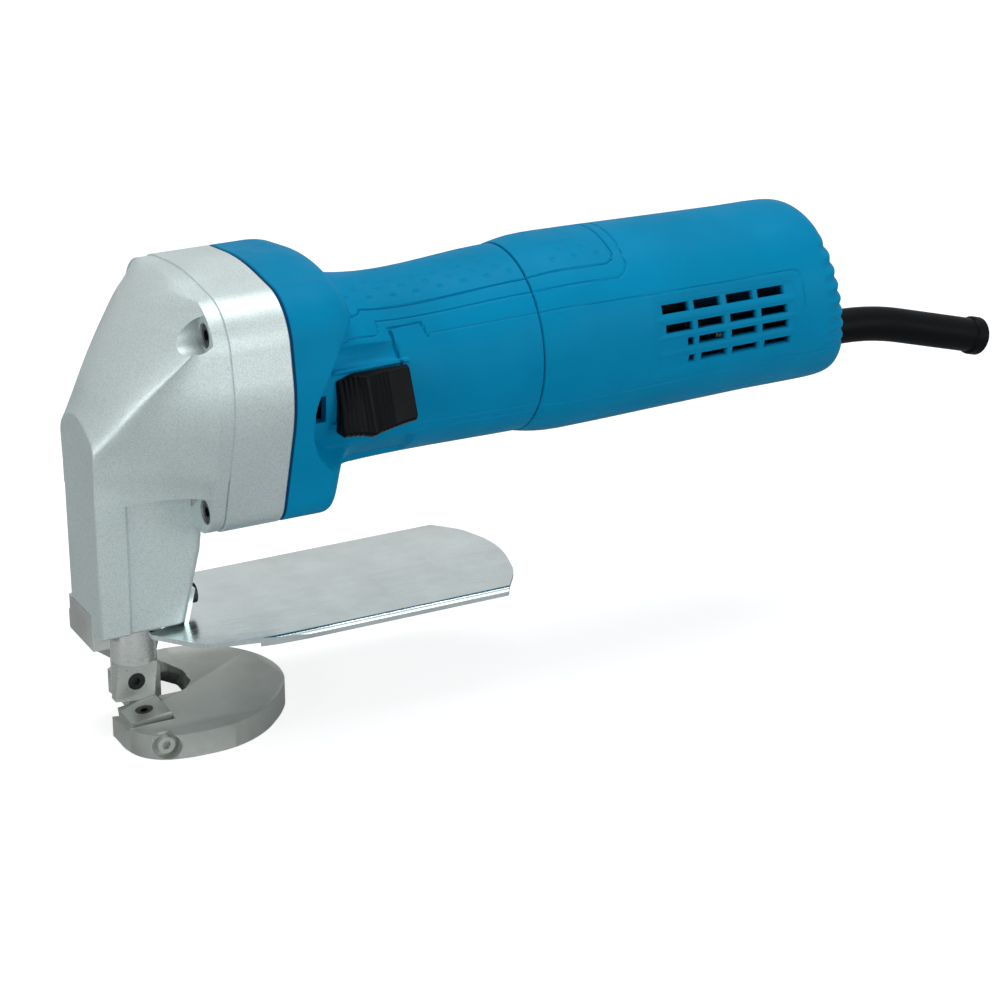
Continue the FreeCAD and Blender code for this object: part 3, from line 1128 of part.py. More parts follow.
def cord_boot():
    """Rubber boot of the cord entry: straight sleeve, drooping tail and end bead, bored through."""
    piece = Piece("cord_boot")
    path = piece.sketch("XZ", z="boot_height")
    bend_x, bend_z = "boot_bend * sin(boot_drop)", "boot_bend * (1 - cos(boot_drop))"
    tail_x = f"boot_straight + {bend_x} + boot_tail * cos(boot_drop)"
    tail_z = f"-{bend_z} - boot_tail * sin(boot_drop)"
    start, bend_start = V(number("boot_inner"), 0, 0), V(number("boot_straight"), 0, 0)
    bend_end = V(number(f"boot_straight + {bend_x}"), -number(bend_z), 0)
    straight = path.addGeometry(Part.LineSegment(start, bend_start), False)
    bend = Part.Circle(V(bend_start.x, -number("boot_bend"), 0), V(0, 0, 1), number("boot_bend"))
    angles = (math.radians(90 - number("boot_drop")), math.radians(90))
    arc = path.addGeometry(Part.ArcOfCircle(bend, *angles), False)
    tail_end = V(number(tail_x), number(tail_z), 0)
    tail = path.addGeometry(Part.LineSegment(bend_end, tail_end), False)
    pin(path, straight, 1, "boot_inner", "0")
    pin(path, straight, 2, "boot_straight", "0")
    path.addConstraint(Sketcher.Constraint("Tangent", straight, 2, arc, 2))
    path.addConstraint(Sketcher.Constraint("Tangent", arc, 1, tail, 1))
    tie(path, Sketcher.Constraint("Radius", arc, number("boot_bend")), "boot_bend")
    pin(path, tail, 2, tail_x, tail_z)
    for kind, radius in (("AdditivePipe", "boot_radius"), ("SubtractivePipe", "boot_bore")):
        ring = piece.sketch("YZ", x="boot_inner", z="boot_height")
        circle(ring, "0", "0", radius)
        pipe = piece.feature(kind, ring)
        pipe.Spine = path
        if kind == "AdditivePipe":
            bead = piece.sketch("XZ", x=f"boot_straight + {bend_x}", z=f"boot_height - {bend_z}",
                                turn="-boot_drop")
            outline(bead, [("boot_tail - bead_length", "0"),
                           ("boot_tail - bead_length", "bead_radius", "1.2"),
                           ("boot_tail", "bead_radius", "1.2"), ("boot_tail", "0")])
            piece.turned(bead)
            collar = piece.sketch("XZ", z="boot_height")
            outline(collar, [("collar_place", "0"), ("collar_place", "boot_radius + 1.6"),
                             ("collar_place + 2.4", "boot_radius + 1.6"), ("collar_place + 2.4", "0")])
            piece.turned(collar)
    mouth = piece.sketch("XZ", x=f"boot_straight + {bend_x}", z=f"boot_height - {bend_z}", turn="-boot_drop")
    outline(mouth, [("boot_tail - mouth_depth", "0"), ("boot_tail - mouth_depth", "mouth_radius"),
                    ("boot_tail + 1", "mouth_radius"), ("boot_tail + 1", "0")])
    piece.turned(mouth, groove=True)
    return piece


def clamp_screws():
    places = [("clamp_place + clamp_length / 2", f"{side} * clamp_screw_side") for side in ("-1", "1")]
    piece = Piece("cord_clamp_screws")
    for across, up in places:
        piece.rod("XY", across, up, "boot_height + clamp_thickness", "2.8", "2")
        piece.rod("XY", across, up, "boot_height + clamp_thickness", "1.3", "clamp_thickness + 6",
                  backwards=True)
    return piece


# ---------------------------------------------------------------- the whole tool
pieces = [
    gear_housing(), housing_gasket(), motor_housing(), rear_cover(), rear_cover_screw(), bearing_flange(),
    crank_bearing_plate(), bearing_plate_screws(), crank_rear_bush(), ram_guide_bush(), ram_wiper_seal(),
    outer_ring("front_bearing_outer_ring", FRONT_BEARING_X, "front_bearing_radius", "shaft_radius",
               "front_bearing_width"),
    inner_ring("front_bearing_inner_ring", FRONT_BEARING_X, "front_bearing_radius", "shaft_radius",
               "front_bearing_width"),
    outer_ring("rear_bearing_outer_ring", REAR_BEARING_X, "rear_bearing_radius", "rear_journal",
               "rear_bearing_width"),
    inner_ring("rear_bearing_inner_ring", REAR_BEARING_X, "rear_bearing_radius", "rear_journal",
               "rear_bearing_width"),
    outer_ring("crank_bearing_outer_ring", CRANK_BEARING_X, "crank_bearing_radius", "crank_journal",
               "crank_bearing_width", CRANK_Z),
    inner_ring("crank_bearing_inner_ring", CRANK_BEARING_X, "crank_bearing_radius", "crank_journal",
               "crank_bearing_width", CRANK_Z),
    rear_bearing_sleeve(),
    cap_screws("gear_housing_screws", "YZ", HEAD_SCREWS, "head_front", "head_screw_cap",
               "head_screw_cap_length", "head_screw_radius", "head_screw_reach", "1.7"),
    foot(),
    cap_screws("foot_screws", "XZ", FOOT_SCREWS, "neck_rear", "foot_screw_cap", "foot_screw_cap_length",
               "foot_screw_radius", "neck_rear - nose_width + 3.2", "2", forward=True),
    tilted_blade("lower_blade", "XY", LOWER_BLADE, "-lower_blade_tilt"),
    blade_screw("lower_blade_screw", "XY", LOWER_BLADE, "-lower_blade_tilt",
                "blade_screw_length - blade_screw_sink"),
    blade_adjusting_screw(), deflector(), deflector_screw(),
    ram(),
    tilted_blade("upper_blade", "XZ", UPPER_BLADE, "upper_blade_tilt"),
    blade_screw("upper_blade_screw", "XZ", UPPER_BLADE, "upper_blade_tilt", "6.4"),
    crank_shaft(), gear_retaining_ring(), eccentric_roller(),
    stator_core(), stator_windings(), armature_shaft(), armature_core(), armature_windings(), commutator(),
    fan(), brush_holders(), carbon_brushes(), brush_springs(),
    switch_slider(), switch_button(), switch_module(), suppression_capacitor(),
    cord_clamp(), cord_boot(), clamp_screws(),
]
gears = [
    spur_gear("pinion", "pinion_teeth", "tooth_shift", "gear_front - pinion_overlap",
              "gear_width + 2 * pinion_overlap", "shaft_tip_radius", "0"),
    spur_gear("drive_gear", "gear_teeth", "-tooth_shift", "gear_front", "gear_width", "crank_seat", CRANK_Z,
              web=("gear_module * gear_teeth / 2 - 3", "crank_seat + 2.6", "1.4")),
]
doc.recompute()

objects = [piece.body for piece in pieces] + gears
for drawn in doc.Objects:
    if "Invalid" in drawn.State or "Error" in drawn.State:
        raise SystemExit(f"{drawn.Label}: {drawn.State}")
os.makedirs("parts", exist_ok=True)
for drawn in objects:
    if drawn.Shape.isNull() or not drawn.Shape.isValid() or drawn.Shape.Volume <= 0:
        raise SystemExit(f"{drawn.Label} has no valid shape")
    drawn.Shape.exportStep(f"parts/{drawn.Label}.step")
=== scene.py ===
"""Looks of an electric sheet-metal shear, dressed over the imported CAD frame.

Lengths in this script are millimetres about the motor axis, as the tool is drawn: X runs from the
cutting head (-) to the cord (+), x = 0 is the seam between motor housing and rear cover, Z is up.
place() turns them into the frame's metres.
"""
import json
import math

import bmesh
import bpy
import numpy as np
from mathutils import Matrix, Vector


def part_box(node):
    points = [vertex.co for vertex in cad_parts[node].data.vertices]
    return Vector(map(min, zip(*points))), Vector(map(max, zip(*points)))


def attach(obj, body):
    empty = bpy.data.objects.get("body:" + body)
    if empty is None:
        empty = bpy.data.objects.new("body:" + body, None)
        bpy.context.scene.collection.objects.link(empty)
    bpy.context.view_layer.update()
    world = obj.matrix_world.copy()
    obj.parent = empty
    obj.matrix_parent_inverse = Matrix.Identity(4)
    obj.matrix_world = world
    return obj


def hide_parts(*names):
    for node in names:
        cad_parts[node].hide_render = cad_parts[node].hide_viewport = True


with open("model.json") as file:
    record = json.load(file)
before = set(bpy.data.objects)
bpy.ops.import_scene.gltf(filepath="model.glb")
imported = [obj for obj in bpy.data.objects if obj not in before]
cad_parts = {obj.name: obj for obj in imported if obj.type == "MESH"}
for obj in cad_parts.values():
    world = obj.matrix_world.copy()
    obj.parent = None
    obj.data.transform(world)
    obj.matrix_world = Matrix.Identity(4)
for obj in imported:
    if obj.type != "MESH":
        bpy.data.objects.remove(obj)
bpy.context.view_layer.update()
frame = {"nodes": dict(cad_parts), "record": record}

MM = 0.001
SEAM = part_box("rear_cover")[0][0]
SHAFT_LOW, SHAFT_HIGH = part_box("armature_shaft")
AXIS_HEIGHT = (SHAFT_LOW[2] + SHAFT_HIGH[2]) / 2


def place(points):
    """Points about the motor axis, in mm, as an array in the frame's metres."""
    return np.asarray(points, float) * MM + np.array([SEAM, 0.0, AXIS_HEIGHT])


# ---------------------------------------------------------------- node trees
class Look:
    """A procedural material with a Principled shader."""

    def __init__(self, name, **sockets):
        self.material = bpy.data.materials.new(name)
        self.material.use_nodes = True
        self.tree = self.material.node_tree
        self.shader = self.tree.nodes["Principled BSDF"]
        self.coords = self.tree.nodes.new("ShaderNodeTexCoord")
        self.bump_before = None
        for socket, value in sockets.items():
            self.shader.inputs[socket.replace("_", " ")].default_value = value

    def link(self, start, end):
        self.tree.links.new(start, end)

    def noise(self, scale, detail=2.0, roughness=0.5, stretch=(1, 1, 1)):
        mapping = self.tree.nodes.new("ShaderNodeMapping")
        mapping.inputs["Scale"].default_value = stretch
        self.link(self.coords.outputs["Object"], mapping.inputs["Vector"])
        noise = self.tree.nodes.new("ShaderNodeTexNoise")
        noise.inputs["Scale"].default_value = scale
        noise.inputs["Detail"].default_value = detail
        noise.inputs["Roughness"].default_value = roughness
        self.link(mapping.outputs["Vector"], noise.inputs["Vector"])
        return noise.outputs["Fac"]

    def grains(self, scale):
        cells = self.tree.nodes.new("ShaderNodeTexVoronoi")
        cells.inputs["Scale"].default_value = scale
        self.link(self.coords.outputs["Object"], cells.inputs["Vector"])
        return cells.outputs["Distance"]

    def ramp(self, factor, *stops):
        ramp = self.tree.nodes.new("ShaderNodeValToRGB")
        elements = ramp.color_ramp.elements
        while len(elements) < len(stops):
            elements.new(0.5)
        for element, (position, colour) in zip(elements, stops):
            element.position = position
            element.color = (*colour, 1) if len(colour) == 3 else colour
        self.link(factor, ramp.inputs["Fac"])
        return ramp.outputs["Color"]

    def grey(self, factor, low, high, start=0.35, end=0.65):
        return self.ramp(factor, (start, (low,) * 3), (end, (high,) * 3))

    def colour(self, output):
        self.link(output, self.shader.inputs["Base Color"])

    def rough(self, output):
        self.link(output, self.shader.inputs["Roughness"])

    def bump(self, height, strength, distance):
        bump = self.tree.nodes.new("ShaderNodeBump")
        bump.inputs["Strength"].default_value = strength
        bump.inputs["Distance"].default_value = distance
        self.link(height, bump.inputs["Height"])
        if self.bump_before:
            self.link(self.bump_before, bump.inputs["Normal"])
        self.bump_before = bump.outputs["Normal"]
        self.link(bump.outputs["Normal"], self.shader.inputs["Normal"])

    def edge_wear(self, colour_output, worn, amount):
        """Mix a worn colour in where the surface is pointed."""
        geometry = self.tree.nodes.new("ShaderNodeNewGeometry")
        mask = self.grey(geometry.outputs["Pointiness"], 0.0, amount, 0.52, 0.6)
        mix = self.tree.nodes.new("ShaderNodeMix")
        mix.data_type = "RGBA"
        self.link(mask, mix.inputs["Factor"])
        self.link(colour_output, mix.inputs["A"])
        mix.inputs["B"].default_value = (*worn, 1)
        return mix.outputs["Result"]


def shade(colour, share):
    return tuple(channel * share for channel in colour)


def moulded(name, colour, grain_scale=1400, roughness=0.5, grain=0.25):
    """Fine-grained moulded plastic."""
    look = Look(name, Specular_IOR_Level=0.05)
    tone = look.noise(45, 3)
    look.colour(look.ramp(tone, (0.3, shade(colour, 0.94)), (0.7, shade(colour, 1.05))))
    look.rough(look.grey(look.noise(120, 3), roughness - 0.05, roughness + 0.06))
    look.bump(look.noise(grain_scale, 3, 0.6), grain, 0.00012)
    return look.material


def painted(name, colour):
    """Silver paint with metal flakes over the grain of a casting."""
    look = Look(name, Metallic=0.55, Specular_IOR_Level=0.4, Coat_Weight=0.05, Coat_Roughness=0.35)
    flakes = look.grains(2300)
    tones = ((0.0, 1.12), (0.5, 0.93), (1.0, 0.82))
    look.colour(look.ramp(flakes, *[(place_on, shade(colour, share)) for place_on, share in tones]))
    look.rough(look.grey(look.noise(60, 3), 0.42, 0.52))
    look.bump(look.noise(1100, 3, 0.6), 0.35, 0.00018)
    return look.material


def steel(name, colour, roughness=0.35, stretch=(1, 1, 1), scale=300, strength=0.12, metallic=1.0, wear=0.0):
    """Bare metal; stretch above 1 across the grain gives brush lines."""
    look = Look(name, Metallic=metallic)
    tone = look.noise(60, 4, 0.6)
    output = look.ramp(tone, (0.3, shade(colour, 0.86)), (0.7, shade(colour, 1.1)))
    if wear:
        output = look.edge_wear(output, shade(colour, 1.5), wear)
    look.colour(output)
    lines = look.noise(scale, 4, 0.65, stretch)
    look.rough(look.grey(lines, roughness - 0.07, roughness + 0.09))
    look.bump(lines, strength, 0.0001)
    return look.material


BLUE = (0.0, 0.225, 0.43)
SILVER = (0.60, 0.695, 0.69)
looks = {
    "cast_head": painted("silver_hammered_paint", SILVER),
    "blue_shell": moulded("blue_polyamide", BLUE),
    "seal": moulded("dark_blue_seal", (0.002, 0.045, 0.13), roughness=0.6),
    "black_rubber": moulded("black_rubber", (0.004, 0.005, 0.006), 900, 0.42, 0.3),
    "black_plastic": moulded("black_plastic", (0.004, 0.005, 0.006), 1500, 0.35, 0.2),
    "black_screw": steel("black_oxide", (0.012, 0.013, 0.015), 0.3, metallic=0.3),
    "bright_screw": steel("zinc_plate", (0.55, 0.57, 0.58), 0.3),
    "foot_steel": steel("blasted_steel", (0.46, 0.49, 0.465), 0.4, scale=900, strength=0.2,
                        metallic=0.6, wear=0.5),
    "blade_steel": steel("ground_tool_steel", (0.44, 0.465, 0.445), 0.34, (1, 14, 1), 500, 0.15,
                         metallic=0.7, wear=0.4),
    "sheet_steel": steel("polished_sheet", (0.68, 0.76, 0.76), 0.2, (1, 25, 1), 90, 0.06, wear=0.2),
    "ground_steel": steel("ground_shaft", (0.80, 0.83, 0.80), 0.28, (1, 1, 18), 400, 0.1),
    "die_cast": steel("bare_casting", (0.55, 0.56, 0.57), 0.5, scale=500, strength=0.2),
    "bronze": steel("sintered_bronze", (0.50, 0.33, 0.14), 0.45, scale=1200, strength=0.2),
    "laminations": steel("lamination_stack", (0.20, 0.20, 0.21), 0.45, (60, 1, 1), 60, 0.35),
    "copper_wire": steel("enamelled_copper", (0.55, 0.20, 0.07), 0.35, (1, 1, 30), 220, 0.5),
    "carbon": moulded("carbon", (0.02, 0.02, 0.022), 700, 0.6, 0.4),
    "spring_steel": steel("spring_wire", (0.5, 0.5, 0.5), 0.3, (1, 1, 40), 200, 0.4),
    "yellow_film": moulded("film_case", (0.55, 0.36, 0.03), 300, 0.35, 0.1),
}
for entry in frame["record"]["subparts"]:
    node = frame["nodes"][entry["node"]]
    if not node.material_slots:
        node.data.materials.append(None)
    for slot in node.material_slots:
        slot.link = "OBJECT"
        slot.material = looks[entry["material_slot"]]
# the adjusting screw is bright like the foot, unlike the other screws
frame["nodes"]["blade_adjusting_screw"].material_slots[0].material = looks["foot_steel"]


def bevelled(names, width, angle=30):
    """Small rounded edges on CAD nodes whose form stays."""
    for name in names:
        bevel = frame["nodes"][name].modifiers.new("edge", "BEVEL")
        bevel.width = width * MM
        bevel.segments = 2
        bevel.limit_method = "ANGLE"
        bevel.angle_limit = math.radians(angle)
        bevel.harden_normals = True


# ---------------------------------------------------------------- meshes
def grid_faces(rows, columns, offset=0, closed=True, skip=None):
    """Quads between rows of points; skip is an array that marks faces to leave open."""
    faces = []
    span = columns if closed else columns - 1
    for row in range(rows - 1):
        for column in range(span):
            if skip is not None and skip[row, column]:
                continue
            following = (column + 1) % columns
            a, b = offset + row * columns, offset + (row + 1) * columns
            faces.append((a + column, a + following, b + following, b + column))
    return faces


def smoothstep(value, low, high):
    share = np.clip((value - low) / (high - low), 0, 1)
    return share * share * (3 - 2 * share)


def interpolate(value, knots):
    """Smooth curve through (place, height) knots."""
    places, heights = (np.array(column, float) for column in zip(*knots))
    slopes = np.gradient(heights, places)
    index = np.clip(np.searchsorted(places, value) - 1, 0, len(places) - 2)
    width = places[index + 1] - places[index]
    share = np.clip((value - places[index]) / width, 0, 1)
    a = (1 + 2 * share) * (1 - share) ** 2
    b = share * (1 - share) ** 2
    c = share ** 2 * (3 - 2 * share)
    d = share ** 2 * (share - 1)
    return (a * heights[index] + b * width * slopes[index] + c * heights[index + 1]
            + d * width * slopes[index + 1])


# ---------------------------------------------------------------- relief on the round housings
def arc_gap(phi, middle):
    """Signed angle from middle, in degrees, within half a turn."""
    return (phi - middle + 180) % 360 - 180


BARREL = 29.0  # mean radius that turns an angle on the skin into mm


def path_distance(x, phi, radius, path):
    """Distance in mm from grid points to a polyline of (x, phi) corners on the barrel."""
    across = np.radians(arc_gap(phi, path[0][1])) * radius
    nearest = np.full(np.broadcast(x, phi).shape, 1e9)
    corners = [(px, math.radians(pphi - path[0][1]) * BARREL) for px, pphi in path]
    for (ax, ay), (bx, by) in zip(corners, corners[1:]):
        length = (bx - ax) ** 2 + (by - ay) ** 2
        share = np.clip(((x - ax) * (bx - ax) + (across - ay) * (by - ay)) / length, 0, 1)
        gap = np.hypot(x - ax - share * (bx - ax), across - ay - share * (by - ay))
        nearest = np.minimum(nearest, gap)
    return nearest


def groove(distance, width, depth):
    """Depth of a soft-edged groove at a distance from its middle."""
    return -depth * (1 - smoothstep(distance, width * 0.35, width))


def inside_box(x, phi, left, right, low, high, soft):
    """1 inside a box of x and phi, 0 outside, with soft edges in mm."""
    along = smoothstep(x, left - soft, left + soft) * (1 - smoothstep(x, right - soft, right + soft))
    around = np.radians(np.abs(arc_gap(phi, (low + high) / 2))) * BARREL
    half = math.radians((high - low) / 2) * BARREL
    return along * (1 - smoothstep(around, half - soft, half + soft))


def both_sides(path):
    """A path and its mirror image on the far side of the barrel."""
    return [path, [(x, 180 - phi) for x, phi in path]]


DIMPLE_RADIUS, DIMPLE_DEPTH, DIMPLE_STEP = 1.5, 0.42, 7.6


def dimples(x, phi, places, radius):
    """Small round hollows at the places, and their mirror images on the far side."""
    relief = np.zeros(np.broadcast(x, phi).shape)
    for dx, dphi in places:
        for angle in (dphi, 180 - dphi):
            gap = np.hypot(x - dx, np.radians(arc_gap(phi, angle)) * radius)
            relief -= DIMPLE_DEPTH * (1 - smoothstep(gap, 0.2, DIMPLE_RADIUS))
    return relief


# grooves as (paths, width, depth); a path has corners (x, angle above the side that faces the switch)
HOUSING_LINES = [
    (both_sides([(-58.6, 48), (-55.1, 50.6), (-54.2, 53.8), (1, 54.6)]), 0.36, 0.5),
    (both_sides([(-58.4, 48), (-57.9, 90)]), 0.36, 0.45),
    (both_sides([(-65, 31.5), (-60.6, 34.8), (-51.1, 35.2), (-50.2, 41.5), (-50.2, 44.6), (1, 44.6)]),
     0.3, 0.35),
    ([[(-47.3, 39.4), (-36.3, 40.2), (-35.4, 29.9)]], 0.36, 0.5),
    ([[(-46.7, 37), (-46.3, 24), (-45.4, 13)]], 0.62, 0.9),
    ([[(-34.4, 31.5), (1, 31.5)]], 0.28, 0.2),
    (both_sides([(-41, -25), (1, -27.2)]), 0.3, 0.3),
    (both_sides([(-40.5, -31.5), (1, -33)]), 0.3, 0.25),
]
COVER_LINES = [
    (both_sides([(-1, 54.6), (26.5, 54), (29, 56.5), (30, 61), (30, 90)]), 0.36, 0.45),
    (both_sides([(-1, 44.6), (28.5, 43.8), (31, 46), (32.6, 51), (33.6, 70), (33.6, 90)]), 0.34, 0.35),
    (both_sides([(-1, 31.5), (39, 30.4), (88, 31.4), (90, 30), (90.6, 26), (91, 6)]), 0.3, 0.28),
    (both_sides([(-1, -27.2), (104, -26)]), 0.32, 0.4),
    (both_sides([(-1, -47), (108, -49)]), 0.32, 0.35),
]
HOUSING_DIMPLES = [(x, angle) for first, angle in ((-56.6, 62.2), (-52.4, 69.6), (-48.6, 77.2))
                   for x in np.arange(first, 0, DIMPLE_STEP)]
COVER_DIMPLES = [(10.6, 62.6), (18.2, 62.6), (25.8, 62.6), (14.6, 71), (22.2, 71), (10.6, 79), (18.2, 79)]


def lines_relief(x, phi, radius, groups):
    """Relief of all grooves of a housing."""
    relief = np.zeros(np.broadcast(x, phi).shape)
    for paths, width, depth in groups:
        for path in paths:
            relief = np.minimum(relief, groove(path_distance(x, phi, radius, path), width, depth))
    return relief


# ---------------------------------------------------------------- outlines and closed skins
def rounded_path(corners, steps=10):
    """Closed outline through corners (across, up, radius) with each corner rounded."""
    points = [np.array(corner[:2], float) for corner in corners]
    path = []
    for i, point in enumerate(points):
        back, ahead = points[i - 1] - point, points[(i + 1) % len(points)] - point
        back, ahead = back / np.hypot(*back), ahead / np.hypot(*ahead)
        half = math.acos(float(np.clip(np.dot(back, ahead), -1, 1))) / 2
        bend = corners[i][2]
        middle = point + (back + ahead) / np.hypot(*(back + ahead)) * bend / math.sin(half)
        start = point + back * bend / math.tan(half) - middle
        end = point + ahead * bend / math.tan(half) - middle
        first = math.atan2(start[1], start[0])
        sweep = (math.atan2(end[1], end[0]) - first + math.pi) % (2 * math.pi) - math.pi
        for share in np.linspace(0, 1, steps):
            angle = first + sweep * share
            path.append(middle + bend * np.array([math.cos(angle), math.sin(angle)]))
    return np.array(path)


def polar_radius(corners, phi):
    """Distance from the axis to a rounded outline, at angles phi in degrees."""
    path = rounded_path(corners, 24)
    following = np.roll(path, -1, axis=0)
    shares = np.linspace(0, 1, 12, endpoint=False)
    dense = np.concatenate([path + (following - path) * share for share in shares])
    angles = np.degrees(np.arctan2(dense[:, 1], -dense[:, 0])) % 360
    order = np.argsort(angles)
    return np.interp(phi % 360, angles[order], np.hypot(*dense.T)[order], period=360)


# outline of the flange as corners (y, z, radius), seen along the tool
SHIELD = [(0, 37.7, 90), (33.2, 33.7, 16), (38.0, 4, 40), (25.4, -36.7, 10),
          (-25.4, -36.7, 10), (-38.0, 4, 40), (-33.2, 33.7, 16)]


def ring_points(x, phi, radius):
    """Points about the axis; x, phi and radius are arrays of one shape."""
    x, phi, radius = np.broadcast_arrays(x, phi, radius)
    angle = np.radians(phi)
    return np.stack([x, -radius * np.cos(angle), radius * np.sin(angle)], axis=-1)


def loft(sections):
    """Points and faces of a closed solid through sections that have the same number of points."""
    sections = np.array(sections)
    rows, columns = sections.shape[:2]
    faces = grid_faces(rows, columns)
    faces.append(tuple(range(columns))[::-1])
    faces.append(tuple((rows - 1) * columns + column for column in range(columns)))
    return sections.reshape(-1, 3), faces


def level(path, z):
    """Section of an upright loft."""
    return np.column_stack([path, np.full(len(path), z)])


def across(path, x):
    """Section of a loft along the tool; the path holds (y, z)."""
    return np.column_stack([np.full(len(path), x), path])


def rod(start, end, radius, end_radius=None, count=48):
    """Cylinder or cone between two points."""
    start, end = np.array(start, float), np.array(end, float)
    axis = (end - start) / np.linalg.norm(end - start)
    side = np.cross(axis, (0, 0, 1) if abs(axis[2]) < 0.9 else (1, 0, 0))
    side /= np.linalg.norm(side)
    turn = np.linspace(0, 2 * math.pi, count, endpoint=False)[:, None]
    circle = np.cos(turn) * side + np.sin(turn) * np.cross(axis, side)
    return loft([start + circle * radius, end + circle * (end_radius or radius)])


def block(low, high, bend=0.6):
    """Box with its upright edges rounded."""
    (x0, y0, z0), (x1, y1, z1) = low, high
    path = rounded_path([(x0, y0, bend), (x1, y0, bend), (x1, y1, bend), (x0, y1, bend)], 6)
    return loft([level(path, z0), level(path, z1)])


def solid(name, shape):
    """Plain object without a place in the part, for joining or cutting."""
    points, faces = shape
    mesh = bpy.data.meshes.new(name)
    mesh.from_pydata([tuple(point) for point in place(points)], [], [tuple(face) for face in faces])
    work = bmesh.new()
    work.from_mesh(mesh)
    bmesh.ops.recalc_face_normals(work, faces=work.faces)
    work.to_mesh(mesh)
    work.free()
    piece = bpy.data.objects.new(name, mesh)
    bpy.context.scene.collection.objects.link(piece)
    return piece


def combined(name, base, others, slot_name, body="root", smooth_angle=38):
    """Join and cut shapes, given as (operation, shape), into one finished piece."""
    piece = solid(name, base)
    for number, (operation, shape) in enumerate(others):
        other = solid(f"{name}_step_{number}", shape)
        step = piece.modifiers.new(other.name, "BOOLEAN")
        step.object = other
        step.operation = operation
        step.solver = "EXACT"
        evaluated = piece.evaluated_get(bpy.context.evaluated_depsgraph_get())
        mesh = bpy.data.meshes.new_from_object(evaluated)
        piece.modifiers.clear()
        piece.data = mesh
        bpy.data.objects.remove(other)
    return finished(piece, slot_name, body, smooth_angle)


def finished(piece, slot_name, body="root", smooth_angle=38):
    """Smooth a solid's faces, keep its edges crisp, and give it a material and a body."""
    mesh = piece.data
    mesh.polygons.foreach_set("use_smooth", [True] * len(mesh.polygons))
    mesh.set_sharp_from_angle(angle=math.radians(smooth_angle))
    mesh.materials.clear()
    mesh.materials.append(looks[slot_name])
    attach(piece, body)
    return piece


# ---------------------------------------------------------------- motor housing
GRIP, RING_FRONT, BORE = 28.5, -83.15, 25.0
# the hollow side of the housing as (x, radius): spigot, web with the rear bearing boss, bore, front recess
HOUSING_INSIDE = [(-0.02, 26.15), (22, 26.15), (22, BORE), (15, BORE), (15, 12.6), (20, 12.6), (20, 9.85),
                  (13, 9.85), (12, 5), (12, BORE), (-78, BORE), (-78, 27.05)]
# how far the skin has gone from the flange ring to the grip along x, above and below
CROWN_BLEND = [(-84, 0), (-72, 0), (-68.7, 0.03), (-66.2, 0.09), (-64.2, 0.19), (-62.8, 0.33), (-61.6, 0.50),
               (-60.7, 0.70), (-59.9, 0.90), (-59.3, 0.98), (-58.5, 1), (0, 1)]
BASE_BLEND = [(-84, 0), (-70.7, 0), (-69.2, 0.02), (-68.1, 0.07), (-66.8, 0.22), (-65.8, 0.40), (-64.9, 0.57),
              (-63.8, 0.74), (-62.5, 0.86), (-60.2, 0.95), (-57.7, 0.99), (-55.2, 1), (0, 1)]
# front edge of the switch bay: x at angles from the middle of the side
BAY_EDGE = [(-70, -52), (-58, -61), (-34, -69), (-26, -73.4), (-15, -76.2), (-5, -77), (5, -76.2),
            (17, -72.4), (32, -66.4), (48, -59.5), (70, -52)]
BOWL_X, BOWL_HALF, BOWL_DEPTH = -57.5, 12.5, 2.2
SLOT_WIDTH, SLOT_HEIGHTS = 3.0, (10.5, 3.5, -3.5, -10.5)


